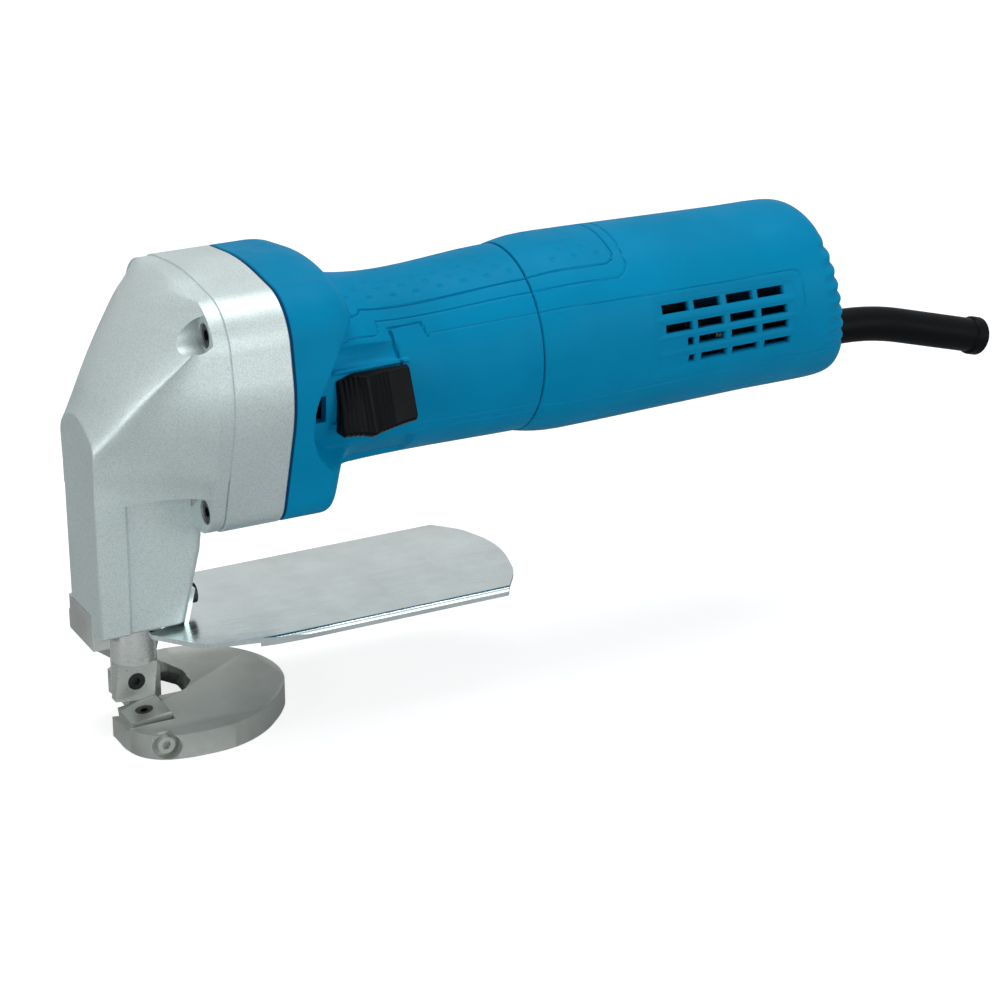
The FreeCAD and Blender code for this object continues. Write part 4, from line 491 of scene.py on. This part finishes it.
def motor_shell():
    """Flange ring, scooped switch bay and round grip with lines and dimples, web and rear spigot."""
    phi = np.linspace(0, 360, 560, endpoint=False)[None, :]
    front_edge, rear_edge = [RING_FRONT, RING_FRONT + 0.3], [-0.35, -0.02]
    x = np.concatenate([front_edge, np.arange(-82.4, -0.45, 0.44), rear_edge])[:, None]
    lift = smoothstep(np.sin(np.radians(phi)), -0.6, 0.45)
    blend = interpolate(x, CROWN_BLEND) * lift + interpolate(x, BASE_BLEND) * (1 - lift)
    # switch bay: the ring is carved back to the level of the grip
    bay_edge = interpolate(arc_gap(phi, 0) + 0 * x, BAY_EDGE)
    bay = smoothstep(x, bay_edge - 0.7, bay_edge + 0.9) * inside_box(x, phi, -90, -40, -33, 46, 1.0)
    blend = np.maximum(blend, bay)
    radius = polar_radius(SHIELD, phi) * (1 - blend) + GRIP * blend
    radius = radius + lines_relief(x, phi, GRIP, HOUSING_LINES) + dimples(x, phi, HOUSING_DIMPLES, GRIP)
    # hollow above the button with a lip below it
    bowl = np.clip(1 - ((x - BOWL_X) / BOWL_HALF) ** 2, 0, 1)
    radius -= BOWL_DEPTH * bowl * np.sin(np.clip(arc_gap(phi, 18) / 13, 0, 1) * math.pi) ** 0.7
    radius += 0.9 * inside_box(x, phi, -68, -43, 16.0, 18.5, 0.35)
    # sunk underside, and the pip ahead of the button
    radius -= 1.2 * inside_box(x, phi, -66, -40.5, -58, -36, 1.2) * smoothstep(x, -68, -60)
    radius += 1.3 * inside_box(x, phi, -69.2, -67.4, -16, -12.5, 0.25)
    radius[0] -= 0.35
    radius[-1] -= 0.3
    skin = list(ring_points(x, phi, radius))
    skin += [ring_points(place_x, phi[0], inside) for place_x, inside in HOUSING_INSIDE]
    skin.append(ring_points(RING_FRONT, phi[0], HOUSING_INSIDE[-1][1]))
    points = np.array(skin)
    rows, columns = points.shape[:2]
    faces = grid_faces(rows, columns)
    faces += [((rows - 1) * columns + column, (rows - 1) * columns + (column + 1) % columns,
               (column + 1) % columns, column) for column in range(columns)]
    # way of the button's neck, window ahead of it, exhaust slots on the far side
    openings = [("DIFFERENCE", block((-67.4, -40, -3.6), (-53.6, -22, 3.6))),
                ("DIFFERENCE", block((-73.9, -42, -5.6), (-70.7, -22, 2.4), 0.3))]
    for height in SLOT_HEIGHTS:
        low, high = height - SLOT_WIDTH / 2, height + SLOT_WIDTH / 2
        openings.append(("DIFFERENCE", block((-67.5, 18, low), (-55, 40, high))))
    piece = combined("motor_shell", (points.reshape(-1, 3), faces), openings, "blue_shell")
    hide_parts("motor_housing")


# ---------------------------------------------------------------- rear cover
COVER_BARREL = [(0, 28.75), (3, 29.35), (7, 29.95), (12, 30.25), (20, 30.2), (50, 29.6), (80, 29.0)]
TAIL_PROFILE = [(-30, 113.2), (-20, 113.5), (-12, 113.3), (-2, 112.2), (8, 110.3), (17, 107.9), (25.5, 104.6),
                (31, 101.5)]
TAIL_START, TAIL_RADIUS, TAIL_MIDDLE, SQUARENESS, TAIL_BULGE = 91.0, 29.0, 55.0, 16, 0.0075
VENT_RADIUS, VENT_ROWS, VENT_STARTS = 29.2, (10.3, 4.4, -0.6, -6.4), (40.4, 41.2, 41.6, 42.6)
VENT_COLUMNS, VENT_LENGTH, VENT_STEP, VENT_HALF = 4, 9.6, 11.4, 1.35
# the lower two rows have a short first vent
SHORT_VENT_ROWS, SHORT_VENT_CUT = (2, 3), 7.2
COVER_WALL, PANEL_DEPTH, ROW_HALF_ANGLE = 2.4, 0.3, 4.2
WAVE_STEP, WAVE_DEPTH = 4.3, 0.75


def tail_radius(psi, phi):
    """Distance from the middle of the last barrel ring to the tail, along directions psi and phi."""
    forward, out = np.sin(psi), np.cos(psi)
    y_share, z_share = -np.cos(np.radians(phi)) * out, np.sin(np.radians(phi)) * out
    near, far = np.zeros(np.broadcast(psi, phi).shape), np.full(np.broadcast(psi, phi).shape, 60.0)
    for _ in range(40):
        reach = (near + far) / 2
        x, y, z = TAIL_START + reach * forward, reach * y_share, reach * z_share
        end = interpolate(np.clip(z, -30, 31), TAIL_PROFILE) - TAIL_BULGE * y * y
        around = (np.hypot(y, z) / TAIL_RADIUS) ** SQUARENESS
        along = (np.clip(x - TAIL_MIDDLE, 0, None) / (end - TAIL_MIDDLE)) ** SQUARENESS
        outside = around + along > 1
        far = np.where(outside, reach, far)
        near = np.where(outside, near, reach)
    return (near + far) / 2


def vent_angle(height):
    """Angle on the skin, in degrees, of a height above the axis."""
    return math.degrees(math.asin(height / VENT_RADIUS))


def vent_angles():
    """Angles of the upper and lower edges of the vents, on both sides."""
    edges = []
    for height in VENT_ROWS:
        for edge in (height - VENT_HALF, height + VENT_HALF):
            edges += [vent_angle(edge) % 360, 180 - vent_angle(edge)]
    return edges


def vent_cells(x_edges, phi_edges):
    """Grid cells that lie in a vent, on both sides of the cover."""
    x = (x_edges[:-1] + x_edges[1:])[:, None] / 2
    middle = (phi_edges + (np.roll(phi_edges, -1) - phi_edges) % 360 / 2)[None, :]
    cells = np.zeros((len(x_edges) - 1, len(phi_edges)), bool)
    for row, height in enumerate(VENT_ROWS):
        low, high = vent_angle(height - VENT_HALF), vent_angle(height + VENT_HALF)
        for column in range(VENT_COLUMNS):
            start = VENT_STARTS[row] + VENT_STEP * column
            short = column == 0 and row in SHORT_VENT_ROWS
            left = start + SHORT_VENT_CUT if short else start
            for turned in (middle, 180 - middle):
                gap = arc_gap(turned, (low + high) / 2)
                cells |= (x > left) & (x < start + VENT_LENGTH) & (np.abs(gap) < (high - low) / 2)
    return cells


def cover_shell():
    """Barrel with a swelling front edge, vents in a sunk panel, and the domed tail with its waves."""
    phi = np.unique(np.round(np.concatenate([np.linspace(0, 360, 560, endpoint=False), vent_angles()]), 3))
    phi = phi[np.concatenate([[True], np.diff(phi) > 0.12])]
    x_rows = np.concatenate([[0.05, 0.4], np.arange(0.8, TAIL_START + 0.01, 0.4)])
    x, angles = x_rows[:, None], phi[None, :]
    radius = interpolate(x + 0 * angles, COVER_BARREL)
    radius = radius + lines_relief(x, angles, 29.6, COVER_LINES) + dimples(x, angles, COVER_DIMPLES, 29.8)
    for turned in (angles, 180 - angles):
        radius -= PANEL_DEPTH * inside_box(x, turned, 37.5, 88.6, -19, 27.5, 0.9)
        for height in VENT_ROWS:
            low, high = vent_angle(height) - ROW_HALF_ANGLE, vent_angle(height) + ROW_HALF_ANGLE
            radius -= PANEL_DEPTH * inside_box(x, turned, 39, 87.5, low, high, 0.5)
    radius[0] -= 0.45
    psi = np.radians(np.concatenate([np.linspace(0.6, 60, 110), np.linspace(61, 89.5, 36)]))[:, None]
    reach = tail_radius(psi, angles)
    tail_x = TAIL_START + reach * np.sin(psi)
    tail = ring_points(tail_x, angles, reach * np.cos(psi))
    wave = 0.5 + 0.5 * np.cos((tail[..., 2] + 3.0) / WAVE_STEP * 2 * math.pi)
    # waves cross the rim at the sides only, between two heights
    rim = smoothstep(tail_x, 98.5, 103) * smoothstep(np.abs(tail[..., 1]), 9, 14)
    band = smoothstep(tail[..., 2], -14, -10) * (1 - smoothstep(tail[..., 2], 19, 23))
    push = lines_relief(tail_x, angles, 29.6, COVER_LINES) - WAVE_DEPTH * rim * band * wave
    outward = ring_points(np.sin(psi) + 0 * reach, angles, np.cos(psi) + 0 * reach)
    points = np.concatenate([ring_points(x, angles, radius), tail + outward * push[..., None]])
    # the vents are left out of the skin, and a fan of triangles closes the tail
    count = len(phi)
    skip = np.zeros((len(points) - 1, count), bool)
    skip[:len(x_rows) - 1] = vent_cells(x_rows, phi)
    apex = len(points) * count
    faces = grid_faces(len(points), count, skip=skip)
    last = apex - count
    faces += [(last + column, last + (column + 1) % count, apex) for column in range(count)]
    skin = np.vstack([points.reshape(-1, 3), [(points[-1][:, 0].mean(), 0, points[-1][:, 2].mean())]])
    piece = solid("cover_shell", (skin, faces))
    finished(piece, "blue_shell")
    wall = piece.modifiers.new("wall", "SOLIDIFY")
    wall.thickness = COVER_WALL * MM
    wall.offset = -1
    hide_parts("rear_cover")


# ---------------------------------------------------------------- gear head
NOSE_X, BAND_X, BAND_STEP_X, HEAD_REAR = -136.0, -106.5, -102.5, -84.05
CRANK_Z, CHAMBER_RADIUS = -11, 23.0
RAM_X, GUIDE_RADIUS = -122.2, 8.5
# the brow as the crown's x, the ridge's x and y, and how deep the side is coved, at heights z
CROWN_LINE = [(-28, -153), (-18, -146.5), (-10, -141.8), (-2.6, -136.6), (8, -131.2), (18, -125.0),
              (27, -118.0), (33, -112.4), (37.4, -106.4)]
RIDGE_LINE = [(-28, -136.0, 12.9), (-18, -136.0, 13.2), (-10, -135.3, 14.4), (-4, -131.6, 17.2),
              (4.5, -125.6, 21.2), (13, -119.0, 25.6), (21, -112.4, 29.6), (28, -107.4, 32.2),
              (38, -106.9, 32.4)]
COVE = [(-28, 0.97), (-20, 0.9), (-12, 0.74), (-4, 0.56), (4, 0.4), (14, 0.26), (22, 0.12), (29, 0.0),
        (38, 0.0)]
COVE_KNEE = (-119.0, 14.2)


def knots(table, column):
    """(height, value) pairs from one column of a table."""
    return [(row[0], row[column]) for row in table]


def slim_outline():
    """Outline of the front step of the band."""
    shield = rounded_path(SHIELD, 40)
    return shield - 0.45 * shield / np.hypot(*shield.T)[:, None]


def band_half_width(height):
    """Half width of the front step of the band at a height."""
    path = slim_outline()
    right = path[(path[:, 0] > 0) & (path[:, 1] > -30)]
    order = np.argsort(right[:, 1])
    return float(np.interp(height, right[order, 1], right[order, 0])) - 0.1


def brow_outline(height, count=150):
    """Half of a level cut through the brow, from the middle of the front to the edge of the band."""
    here = np.array(float(height))
    crown_x, ridge_x = float(interpolate(here, CROWN_LINE)), float(interpolate(here, knots(RIDGE_LINE, 1)))
    half_width = band_half_width(height)
    ridge_y = min(float(interpolate(here, knots(RIDGE_LINE, 2))), half_width * 0.96)
    cove = float(interpolate(here, COVE))
    share = np.linspace(0, 1, count // 2)
    front = np.stack([crown_x + (ridge_x - crown_x) * share ** 1.9, ridge_y * share], axis=-1)
    start, end = np.array([ridge_x, ridge_y]), np.array([BAND_X, half_width])
    knee = (start + end) / 2 * (1 - cove) + np.array(COVE_KNEE) * cove
    share = np.linspace(0, 1, count - count // 2 + 1)[1:, None]
    side = start * (1 - share) ** 2 + knee * 2 * share * (1 - share) + end * share ** 2
    line = np.concatenate([front, side])
    # the ridge between front and side is sharp at the top and softer further down
    for _ in range(int(8 + 90 * (1 - smoothstep(height, -6, 24)))):
        line[1:-1] = line[1:-1] * 0.5 + (line[:-2] + line[2:]) * 0.25
    line[:, 0] = np.maximum(line[:, 0], NOSE_X)
    return line


def brow():
    """Crowned front with soft ridges down to the flat nose, coved sides, sharp lower edge."""
    sections = []
    for height in np.concatenate([np.linspace(-28, 34, 150), np.linspace(34.2, 36.6, 14)]):
        half = brow_outline(height)
        back = np.array([[BAND_X + 6, half[-1, 1]], [BAND_X + 6, -half[-1, 1]]])
        path = np.concatenate([half[::-1] * np.array([1, -1]), half[1:], back])
        # the lower edge falls a little towards the nose
        drop = smoothstep(-path[:, 0], 107, 132) * 3.0 * smoothstep(-height, 10, 28)
        sections.append(np.column_stack([path, height + 4.9 * smoothstep(-height, 14, 28) - drop]))
    return loft(sections)


PANEL_SINK = 0.9


def column_level(z, rear, half, step_x):
    """Level cut of the column: full width at the nose, a sunk panel behind the step."""
    sunk = half - PANEL_SINK
    side = [(NOSE_X, half, 1.3), (step_x, half, 0.4), (step_x + 1.0, sunk, 0.4), (rear, sunk, 3.2)]
    path = side + [(x, -y, bend) for x, y, bend in side[::-1]]
    return level(rounded_path(path, 8), z)


COLUMN_BOTTOM = -67.15
# the column from its top to its lower edge: height, rear face, half width, step of the sunk panel
COLUMN_LEVELS = ((-18, -100.5, 13.2, -127.2), (-45, -103.5, 12.9, -127.0), (-66.6, -108.7, 12.6, -127.2),
                 (COLUMN_BOTTOM, -108.9, 12.2, -127.2))
# distance from the middle and height of the head screws, upper and lower
HEAD_SCREWS = ((27.2, 26.0), (22.6, -28.6))
CAP_FACE, CAP_SEAT, CAP_RADIUS, SHANK_RADIUS, KEY_RADIUS = -105.7, -102.6, 3.3, 2.0, 1.75
RECESS_RADIUS, POCKET_RADIUS, POCKET_PLACE = 3.6, 5.2, (28.8, 26.8)


def head_screws():
    """Four socket-head screws sunk in the head, with their hexagon sockets."""
    for side, hand in ((-1, "near"), (1, "far")):
        for (place_y, place_z), level_name in zip(HEAD_SCREWS, ("upper", "lower")):
            y = side * place_y
            head = rod((CAP_FACE, y, place_z), (CAP_SEAT, y, place_z), CAP_RADIUS)
            rim = rod((CAP_FACE - 0.3, y, place_z), (CAP_FACE, y, place_z), CAP_RADIUS - 0.4, CAP_RADIUS)
            shank = rod((-103, y, place_z), (-76, y, place_z), SHANK_RADIUS)
            key = rod((-107, y, place_z), (-104.0, y, place_z), KEY_RADIUS, count=6)
            parts = [("UNION", rim), ("UNION", shank), ("DIFFERENCE", key)]
            combined(f"{hand}_{level_name}_head_screw", head, parts, "black_screw", smooth_angle=30)
    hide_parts("gear_housing_screws")


EDGE_INSET = 0.992


def gasket():
    """Thin dark seal between head and motor housing."""
    shield = rounded_path(SHIELD, 40) * EDGE_INSET
    plate = loft([across(shield, -84.0), across(shield, RING_FRONT - 0.04)])
    hole = rod((-86, 0, CRANK_Z), (-82, 0, CRANK_Z), CHAMBER_RADIUS, count=96)
    piece = combined("flange_gasket", plate, [("DIFFERENCE", hole)], "seal")
    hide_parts("housing_gasket")


def band():
    """The band of the head: full flange behind, a slightly smaller front step."""
    shield = rounded_path(SHIELD, 40)
    slim = slim_outline()
    flange = [across(shield * EDGE_INSET, HEAD_REAR), across(shield, HEAD_REAR - 0.3),
              across(shield, -101.8), across(shield * EDGE_INSET, -101.95)]
    step = [across(slim * 0.985, -102.1), across(slim * 0.985, -102.35), across(slim, BAND_STEP_X),
            across(slim, BAND_X + 0.15), across(slim * 0.995, BAND_X)]
    return loft(flange + step)


def gear_head():
    """Cast head in one piece: band, brow, column, with its cavities, guide and screw pockets."""
    column = loft([column_level(*row) for row in COLUMN_LEVELS])
    steps = [("UNION", brow()), ("UNION", column)]
    pocket_y, pocket_z = POCKET_PLACE
    for side in (-1, 1):
        pocket = rod((-128, side * pocket_y, pocket_z), (BAND_X, side * pocket_y, pocket_z), POCKET_RADIUS)
        steps.append(("DIFFERENCE", pocket))
        for place_y, place_z in HEAD_SCREWS:
            y = side * place_y
            recess = rod((BAND_X - 1, y, place_z), (BAND_STEP_X, y, place_z), RECESS_RADIUS)
            steps.append(("DIFFERENCE", recess))
    # crank chamber, way of the crank pin, yoke cavity, ram guide, corner where the foot's tab sits
    steps.append(("DIFFERENCE", rod((-106.6, 0, CRANK_Z), (-80, 0, CRANK_Z), CHAMBER_RADIUS, count=96)))
    steps.append(("DIFFERENCE", rod((-110, 0, -17.5), (-106, 0, -17.5), 8.0)))
    steps.append(("DIFFERENCE", block((-131, -10.3, -34), (-108.5, 10.3, -1.2), 1.5)))
    steps.append(("DIFFERENCE", rod((RAM_X, 0, -70), (RAM_X, 0, -33), GUIDE_RADIUS, count=64)))
    steps.append(("DIFFERENCE", block((-140, -5, -70), (-131, 20, -62.2), 0.4)))
    piece = combined("gear_head", band(), steps, "cast_head", smooth_angle=30)
    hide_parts("gear_housing")


# ---------------------------------------------------------------- foot
GROUND, FOOT_TOP = -102.0, -94.3
DISC_MIDDLE = (-103.0, 0.5)
# radius of the disc at angles from the cord's side, counted towards the far side
DISC_RADIUS = [(-30, 26.2), (-15, 27.2), (0, 27.8), (45, 28.9), (90, 29.4), (135, 30.2), (180, 28.2),
               (198, 29.6), (210, 32.2), (220, 33.8), (230, 33.8), (240, 32.4), (254, 30.2), (270, 28.7),
               (285, 27.4), (300, 26.4), (315, 25.8), (330, 26.2), (345, 27.2), (360, 27.8)]
# chip opening as corners (x, y, radius): where it meets the top, and wider at the ground
OPENING = [(-142, -4.6, 0.4), (-115.2, -4.6, 0.6), (-115.2, -0.4, 0.6), (-106.6, -0.4, 4.2),
           (-102.4, 4.8, 3.6), (-102.4, 12.2, 4.0), (-105.8, 17.0, 3.0), (-110.6, 17.0, 1.5),
           (-110.6, 8.6, 0.3), (-121, 8.6, 0.3), (-121, 18.4, 0.3), (-121.8, 24, 3.0), (-124, 42, 0.4),
           (-142, 42, 0.4)]
WIDER = [(-101.8, 5.5, 3.6), (-101.4, 21.0, 4.0), (-105.0, 27.0, 3.0), (-110.6, 27.0, 1.5)]
OPENING_BELOW = OPENING[:4] + WIDER + OPENING[8:]
# the neck behind the blades: height, heel, far side
NECK = [(-67.6, -105.4, 17.6), (-72, -107.2, 17.6), (-78, -109.6, 17.6), (-84, -111.2, 17.7),
        (-88, -111.0, 18.2), (-90.4, -109.6, 19.0), (-92.2, -107.0, 20.2), (-93.4, -104.2, 21.6),
        (-94.2, -101.0, 23.4), (-94.8, -98, 25)]
NECK_FRONT, NECK_NEAR, NECK_FAR = -120.7, 8.6, 17.6
LOWER_BLADE_PLACE, LOWER_BLADE_TILT = (-122.9, -93.2), 7.4
ADJUSTER_X, ADJUSTER_Z, ADJUSTER_FACE = -122.5, -97.8, -23.2
EDGE_WIDTH, EDGE_STEPS = 0.45, 3


def blade_frame(points, middle, tilt):
    """Turn (along, up) points of a tilted blade seat into (x, z) points about the motor axis."""
    angle = math.radians(tilt)
    return np.array([(middle[0] + u * math.cos(angle) + w * math.sin(angle),
                      middle[1] - u * math.sin(angle) + w * math.cos(angle)) for u, w in points])


def along_y(path, near, far):
    """Closed solid from an outline in (x, z), between two places across the tool."""
    sections = [np.column_stack([path[:, 0], np.full(len(path), y), path[:, 1]]) for y in (near, far)]
    return loft(sections)


def neck_level(z, heel, side):
    """Level cut of the neck; heel and far side spread where it meets the disc."""
    corners = [(NECK_FRONT, NECK_NEAR, 0.4), (heel, NECK_NEAR, 1.2), (heel, side, 3.0),
               (NECK_FRONT, side, 0.6)]
    return level(rounded_path(corners, 8), z)


def foot():
    """Oval disc with the chip opening, neck that flares into it, tab under the nose, blade seat, notch."""
    angle = np.linspace(0, 360, 240, endpoint=False)
    radius = interpolate(angle, DISC_RADIUS)
    rim = np.column_stack([DISC_MIDDLE[0] + radius * np.cos(np.radians(angle)),
                           DISC_MIDDLE[1] + radius * np.sin(np.radians(angle))])
    disc = loft([level(rim, GROUND), level(rim, FOOT_TOP)])
    neck = loft([neck_level(*row) for row in NECK])
    opening = loft([level(rounded_path(OPENING_BELOW, 8), -104), level(rounded_path(OPENING, 8), -95.6),
                    level(rounded_path(OPENING, 8), -86.2)])
    front = rounded_path([(NOSE_X, -67.4, 0.3), (NOSE_X, -73.6, 1.5), (-131, -79.6, 3), (-120, -88, 3),
                          (-120, -67.4, 0.3)], 8)
    upright = rounded_path([(-130, -68, 0.4), (-130, -46, 5), (-104, -46, 4), (-105.4, -68, 0.4)], 8)
    tab = block((NOSE_X, -4.8, -73.6), (-130.4, 14.4, -62.4), 0.5)
    seat = blade_frame([(-9.1, -3.5), (6.9, -3.5), (6.9, 5), (-9.1, 5)], LOWER_BLADE_PLACE, LOWER_BLADE_TILT)
    notch = rod((ADJUSTER_X, -40, ADJUSTER_Z), (ADJUSTER_X, ADJUSTER_FACE, ADJUSTER_Z), 4.0, count=64)
    thread = rod((ADJUSTER_X, -24, ADJUSTER_Z), (ADJUSTER_X, -12, ADJUSTER_Z), 2.0)
    steps = [("UNION", neck), ("DIFFERENCE", opening), ("UNION", along_y(front, NECK_NEAR, 15.0)),
             ("UNION", along_y(upright, 12.9, NECK_FAR)), ("UNION", tab),
             ("DIFFERENCE", along_y(seat, -16.9, 1.0)), ("DIFFERENCE", notch), ("DIFFERENCE", thread)]
    piece = combined("foot_plate", disc, steps, "foot_steel", smooth_angle=30)
    edge = piece.modifiers.new("edge", "BEVEL")
    edge.width = EDGE_WIDTH * MM
    edge.segments = EDGE_STEPS
    edge.limit_method = "ANGLE"
    edge.angle_limit = math.radians(40)
    flat = piece.modifiers.new("flat_faces", "WEIGHTED_NORMAL")
    flat.weight = 90
    flat.keep_sharp = True
    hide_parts("foot")


def foot_bolts():
    """Two flat socket-head screws that hold the foot to the back of the column."""
    shapes = []
    for x, z in ((-129.2, -53.0), (-114.2, -59.0)):
        shapes.append(("UNION", rod((x, 15.0, z), (x, 18.2, z), 3.4)))
        shapes.append(("UNION", rod((x, 9.0, z), (x, 15.2, z), 2.4)))
        shapes.append(("DIFFERENCE", rod((x, 16.4, z), (x, 19.0, z), 1.8, count=6)))
    piece = combined("foot_bolts", shapes[0][1], shapes[1:], "black_screw", smooth_angle=30)
    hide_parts("foot_screws")


# ---------------------------------------------------------------- switch button
BUTTON_FRONT, BUTTON_LENGTH = -67.4, 22.8
# how far the button stands out, from its front to its rear
BUTTON_CREST = [(0, 1.0), (2, 1.6), (6.6, 3.8), (7.7, 4.9), (8.7, 4.9), (10.2, 3.9), (15, 2.8), (22.8, 2.0)]


def ripple(turns):
    """Wave between 0 and 1."""
    return 0.5 - 0.5 * math.cos(2 * math.pi * turns)


def switch_button():
    """Slide button that leans out downwards: ribbed slopes in front of and behind a crest."""
    sections = []
    length = BUTTON_LENGTH
    steps = np.concatenate([[0, 0.15], np.arange(0.3, length - 0.2, 0.1), [length - 0.15, length]])
    for along in steps:
        crest = float(interpolate(np.array(along), BUTTON_CREST))
        if 0.9 < along < 6.3:
            rib = 0.34 * ripple((along - 0.9) / 1.35)
        elif 10.4 < along < 15.6:
            rib = 0.24 * ripple((along - 10.4) / 1.3)
        else:
            rib = 0.0
        ends = 0.5 * (1 - float(smoothstep(np.array(min(along, length - along)), 0, 0.5)))
        front_drop = 1.4 * (1 - float(smoothstep(np.array(along), 0, 6)))
        rear_rise = 1.5 * float(smoothstep(np.array(along), 9, length))
        top_y, top_z = -28.4 - crest * 0.62 + rib + ends, 7.3 - ends - front_drop
        low_y, low_z = -33.4 - crest * 0.84 + rib + ends, -8.2 + ends + rear_rise
        path = rounded_path([(-28.0, top_z + 0.5, 0.2), (top_y, top_z, 0.5), (low_y, low_z, 0.9),
                             (low_y + 2.2, low_z - 1.5, 0.8), (-28.0, low_z - 1.7, 0.2)], 6)
        sections.append(across(path, BUTTON_FRONT + along))
    piece = solid("ribbed_button", loft(sections))
    finished(piece, "black_plastic", "switch_button", 50)
    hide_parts("switch_button")


def switch_rail():
    """Flat rail that runs back from the button to the switch, with the neck that holds the button."""
    rail = block((-66, -24.6, -2.6), (30, -23.1, 2.6), 0.4)
    neck = block((-61.5, -29.6, -3.0), (-54.5, -24.0, 3.0), 0.4)
    piece = combined("switch_rail", rail, [("UNION", neck)], "black_plastic", "switch_slider")
    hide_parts("switch_slider")


motor_shell()
cover_shell()
gear_head()
gasket()
head_screws()
switch_button()
switch_rail()
foot()
foot_bolts()
bevelled(["deflector", "upper_blade", "lower_blade"], 0.25)


# ---------------------------------------------------------------- floor, light and camera
FLOOR_REACH = 3.0
FLOOR_GLOW, WORLD_PLAIN, WORLD_SHINY, WHITE = 0.78, 0.22, 0.66, 1.0
floor_mesh = bpy.data.meshes.new("floor")
corners = [(x * FLOOR_REACH, y * FLOOR_REACH, 0) for x, y in ((-1, -1), (1, -1), (1, 1), (-1, 1))]
floor_mesh.from_pydata(corners, [], [(0, 1, 2, 3)])
floor = bpy.data.objects.new("floor", floor_mesh)
bpy.context.scene.collection.objects.link(floor)


def seen_rays(tree, shiny):
    """1 for rays that come from the camera and, when shiny is set, off a shiny surface."""
    path = tree.nodes.new("ShaderNodeLightPath")
    if not shiny:
        return path.outputs["Is Camera Ray"]
    either = tree.nodes.new("ShaderNodeMath")
    either.operation = "MAXIMUM"
    tree.links.new(path.outputs["Is Camera Ray"], either.inputs[0])
    tree.links.new(path.outputs["Is Glossy Ray"], either.inputs[1])
    return either.outputs[0]


def seen_as(tree, plain, other, shiny=True):
    """Shader that shows `other` to the camera (and to shiny surfaces), and `plain` to all else."""
    mix = tree.nodes.new("ShaderNodeMixShader")
    tree.links.new(seen_rays(tree, shiny), mix.inputs["Fac"])
    tree.links.new(plain, mix.inputs[1])
    tree.links.new(other, mix.inputs[2])
    return mix.outputs["Shader"]


def emission(tree, strength):
    white = tree.nodes.new("ShaderNodeEmission")
    white.inputs["Strength"].default_value = strength
    return white.outputs["Emission"]


floor_look = bpy.data.materials.new("pale_floor")
floor_look.use_nodes = True
floor_shader = floor_look.node_tree.nodes["Principled BSDF"]
floor_shader.inputs["Base Color"].default_value = (0.40, 0.41, 0.42, 1)
floor_shader.inputs["Roughness"].default_value = 0.7
floor_tree = floor_look.node_tree
floor_glow = floor_tree.nodes.new("ShaderNodeAddShader")
floor_tree.links.new(floor_shader.outputs["BSDF"], floor_glow.inputs[0])
floor_tree.links.new(emission(floor_tree, FLOOR_GLOW), floor_glow.inputs[1])
floor_seen = seen_as(floor_tree, floor_shader.outputs["BSDF"], floor_glow.outputs["Shader"],
                     shiny=False)
floor_tree.links.new(floor_seen, floor_tree.nodes["Material Output"].inputs["Surface"])
floor.data.materials.append(floor_look)

world = bpy.data.worlds.new("studio")
bpy.context.scene.world = world
world.use_nodes = True
background = world.node_tree.nodes["Background"]
background.inputs["Color"].default_value = (1.0, 1.0, 1.0, 1)
background.inputs["Strength"].default_value = WORLD_PLAIN
world_output = world.node_tree.nodes["World Output"]
shiny_sky = seen_as(world.node_tree, background.outputs["Background"], emission(world.node_tree, WORLD_SHINY))
sky = seen_as(world.node_tree, shiny_sky, emission(world.node_tree, WHITE), shiny=False)
world.node_tree.links.new(sky, world_output.inputs["Surface"])


def area_light(name, position, target, width, height, power):
    lamp = bpy.data.lights.new(name, "AREA")
    lamp.shape = "RECTANGLE"
    lamp.size, lamp.size_y = width, height
    lamp.energy = power
    light = bpy.data.objects.new(name, lamp)
    light.location = position
    aim = Vector(target) - Vector(position)
    light.rotation_mode = "QUATERNION"
    light.rotation_quaternion = aim.to_track_quat("-Z", "Y")
    bpy.context.scene.collection.objects.link(light)


MIDDLE = (0.10, 0.0, 0.08)
area_light("top_softbox", (0.15, 0.15, 1.15), MIDDLE, 1.1, 0.6, 9.0)
area_light("nose_softbox", (-0.95, -0.38, 0.28), MIDDLE, 0.45, 0.45, 3.2)
area_light("side_softbox", (0.75, -1.0, 0.42), MIDDLE, 0.8, 0.6, 4.6)
area_light("low_softbox", (-0.15, -0.95, 0.13), MIDDLE, 0.6, 0.2, 1.4)

camera_data = bpy.data.cameras.new("camera")
camera_data.sensor_width = 36.0
camera_data.lens = 109.0
camera_data.clip_start, camera_data.clip_end = 0.01, 20.0
camera = bpy.data.objects.new("camera", camera_data)
bpy.context.scene.collection.objects.link(camera)
bpy.context.scene.camera = camera
AIM, AZIMUTH, ELEVATION, DISTANCE = place([0.0, 0.0, -53.4]), -27.6, 22.4, 0.9357
azimuth, elevation = math.radians(AZIMUTH), math.radians(ELEVATION)
back = Vector((math.sin(azimuth) * math.cos(elevation), -math.cos(azimuth) * math.cos(elevation),
               math.sin(elevation)))
camera.location = Vector(AIM) + back * DISTANCE
camera.rotation_mode = "QUATERNION"
camera.rotation_quaternion = (-back).to_track_quat("-Z", "Y")

bpy.context.scene.view_settings.view_transform = "Standard"
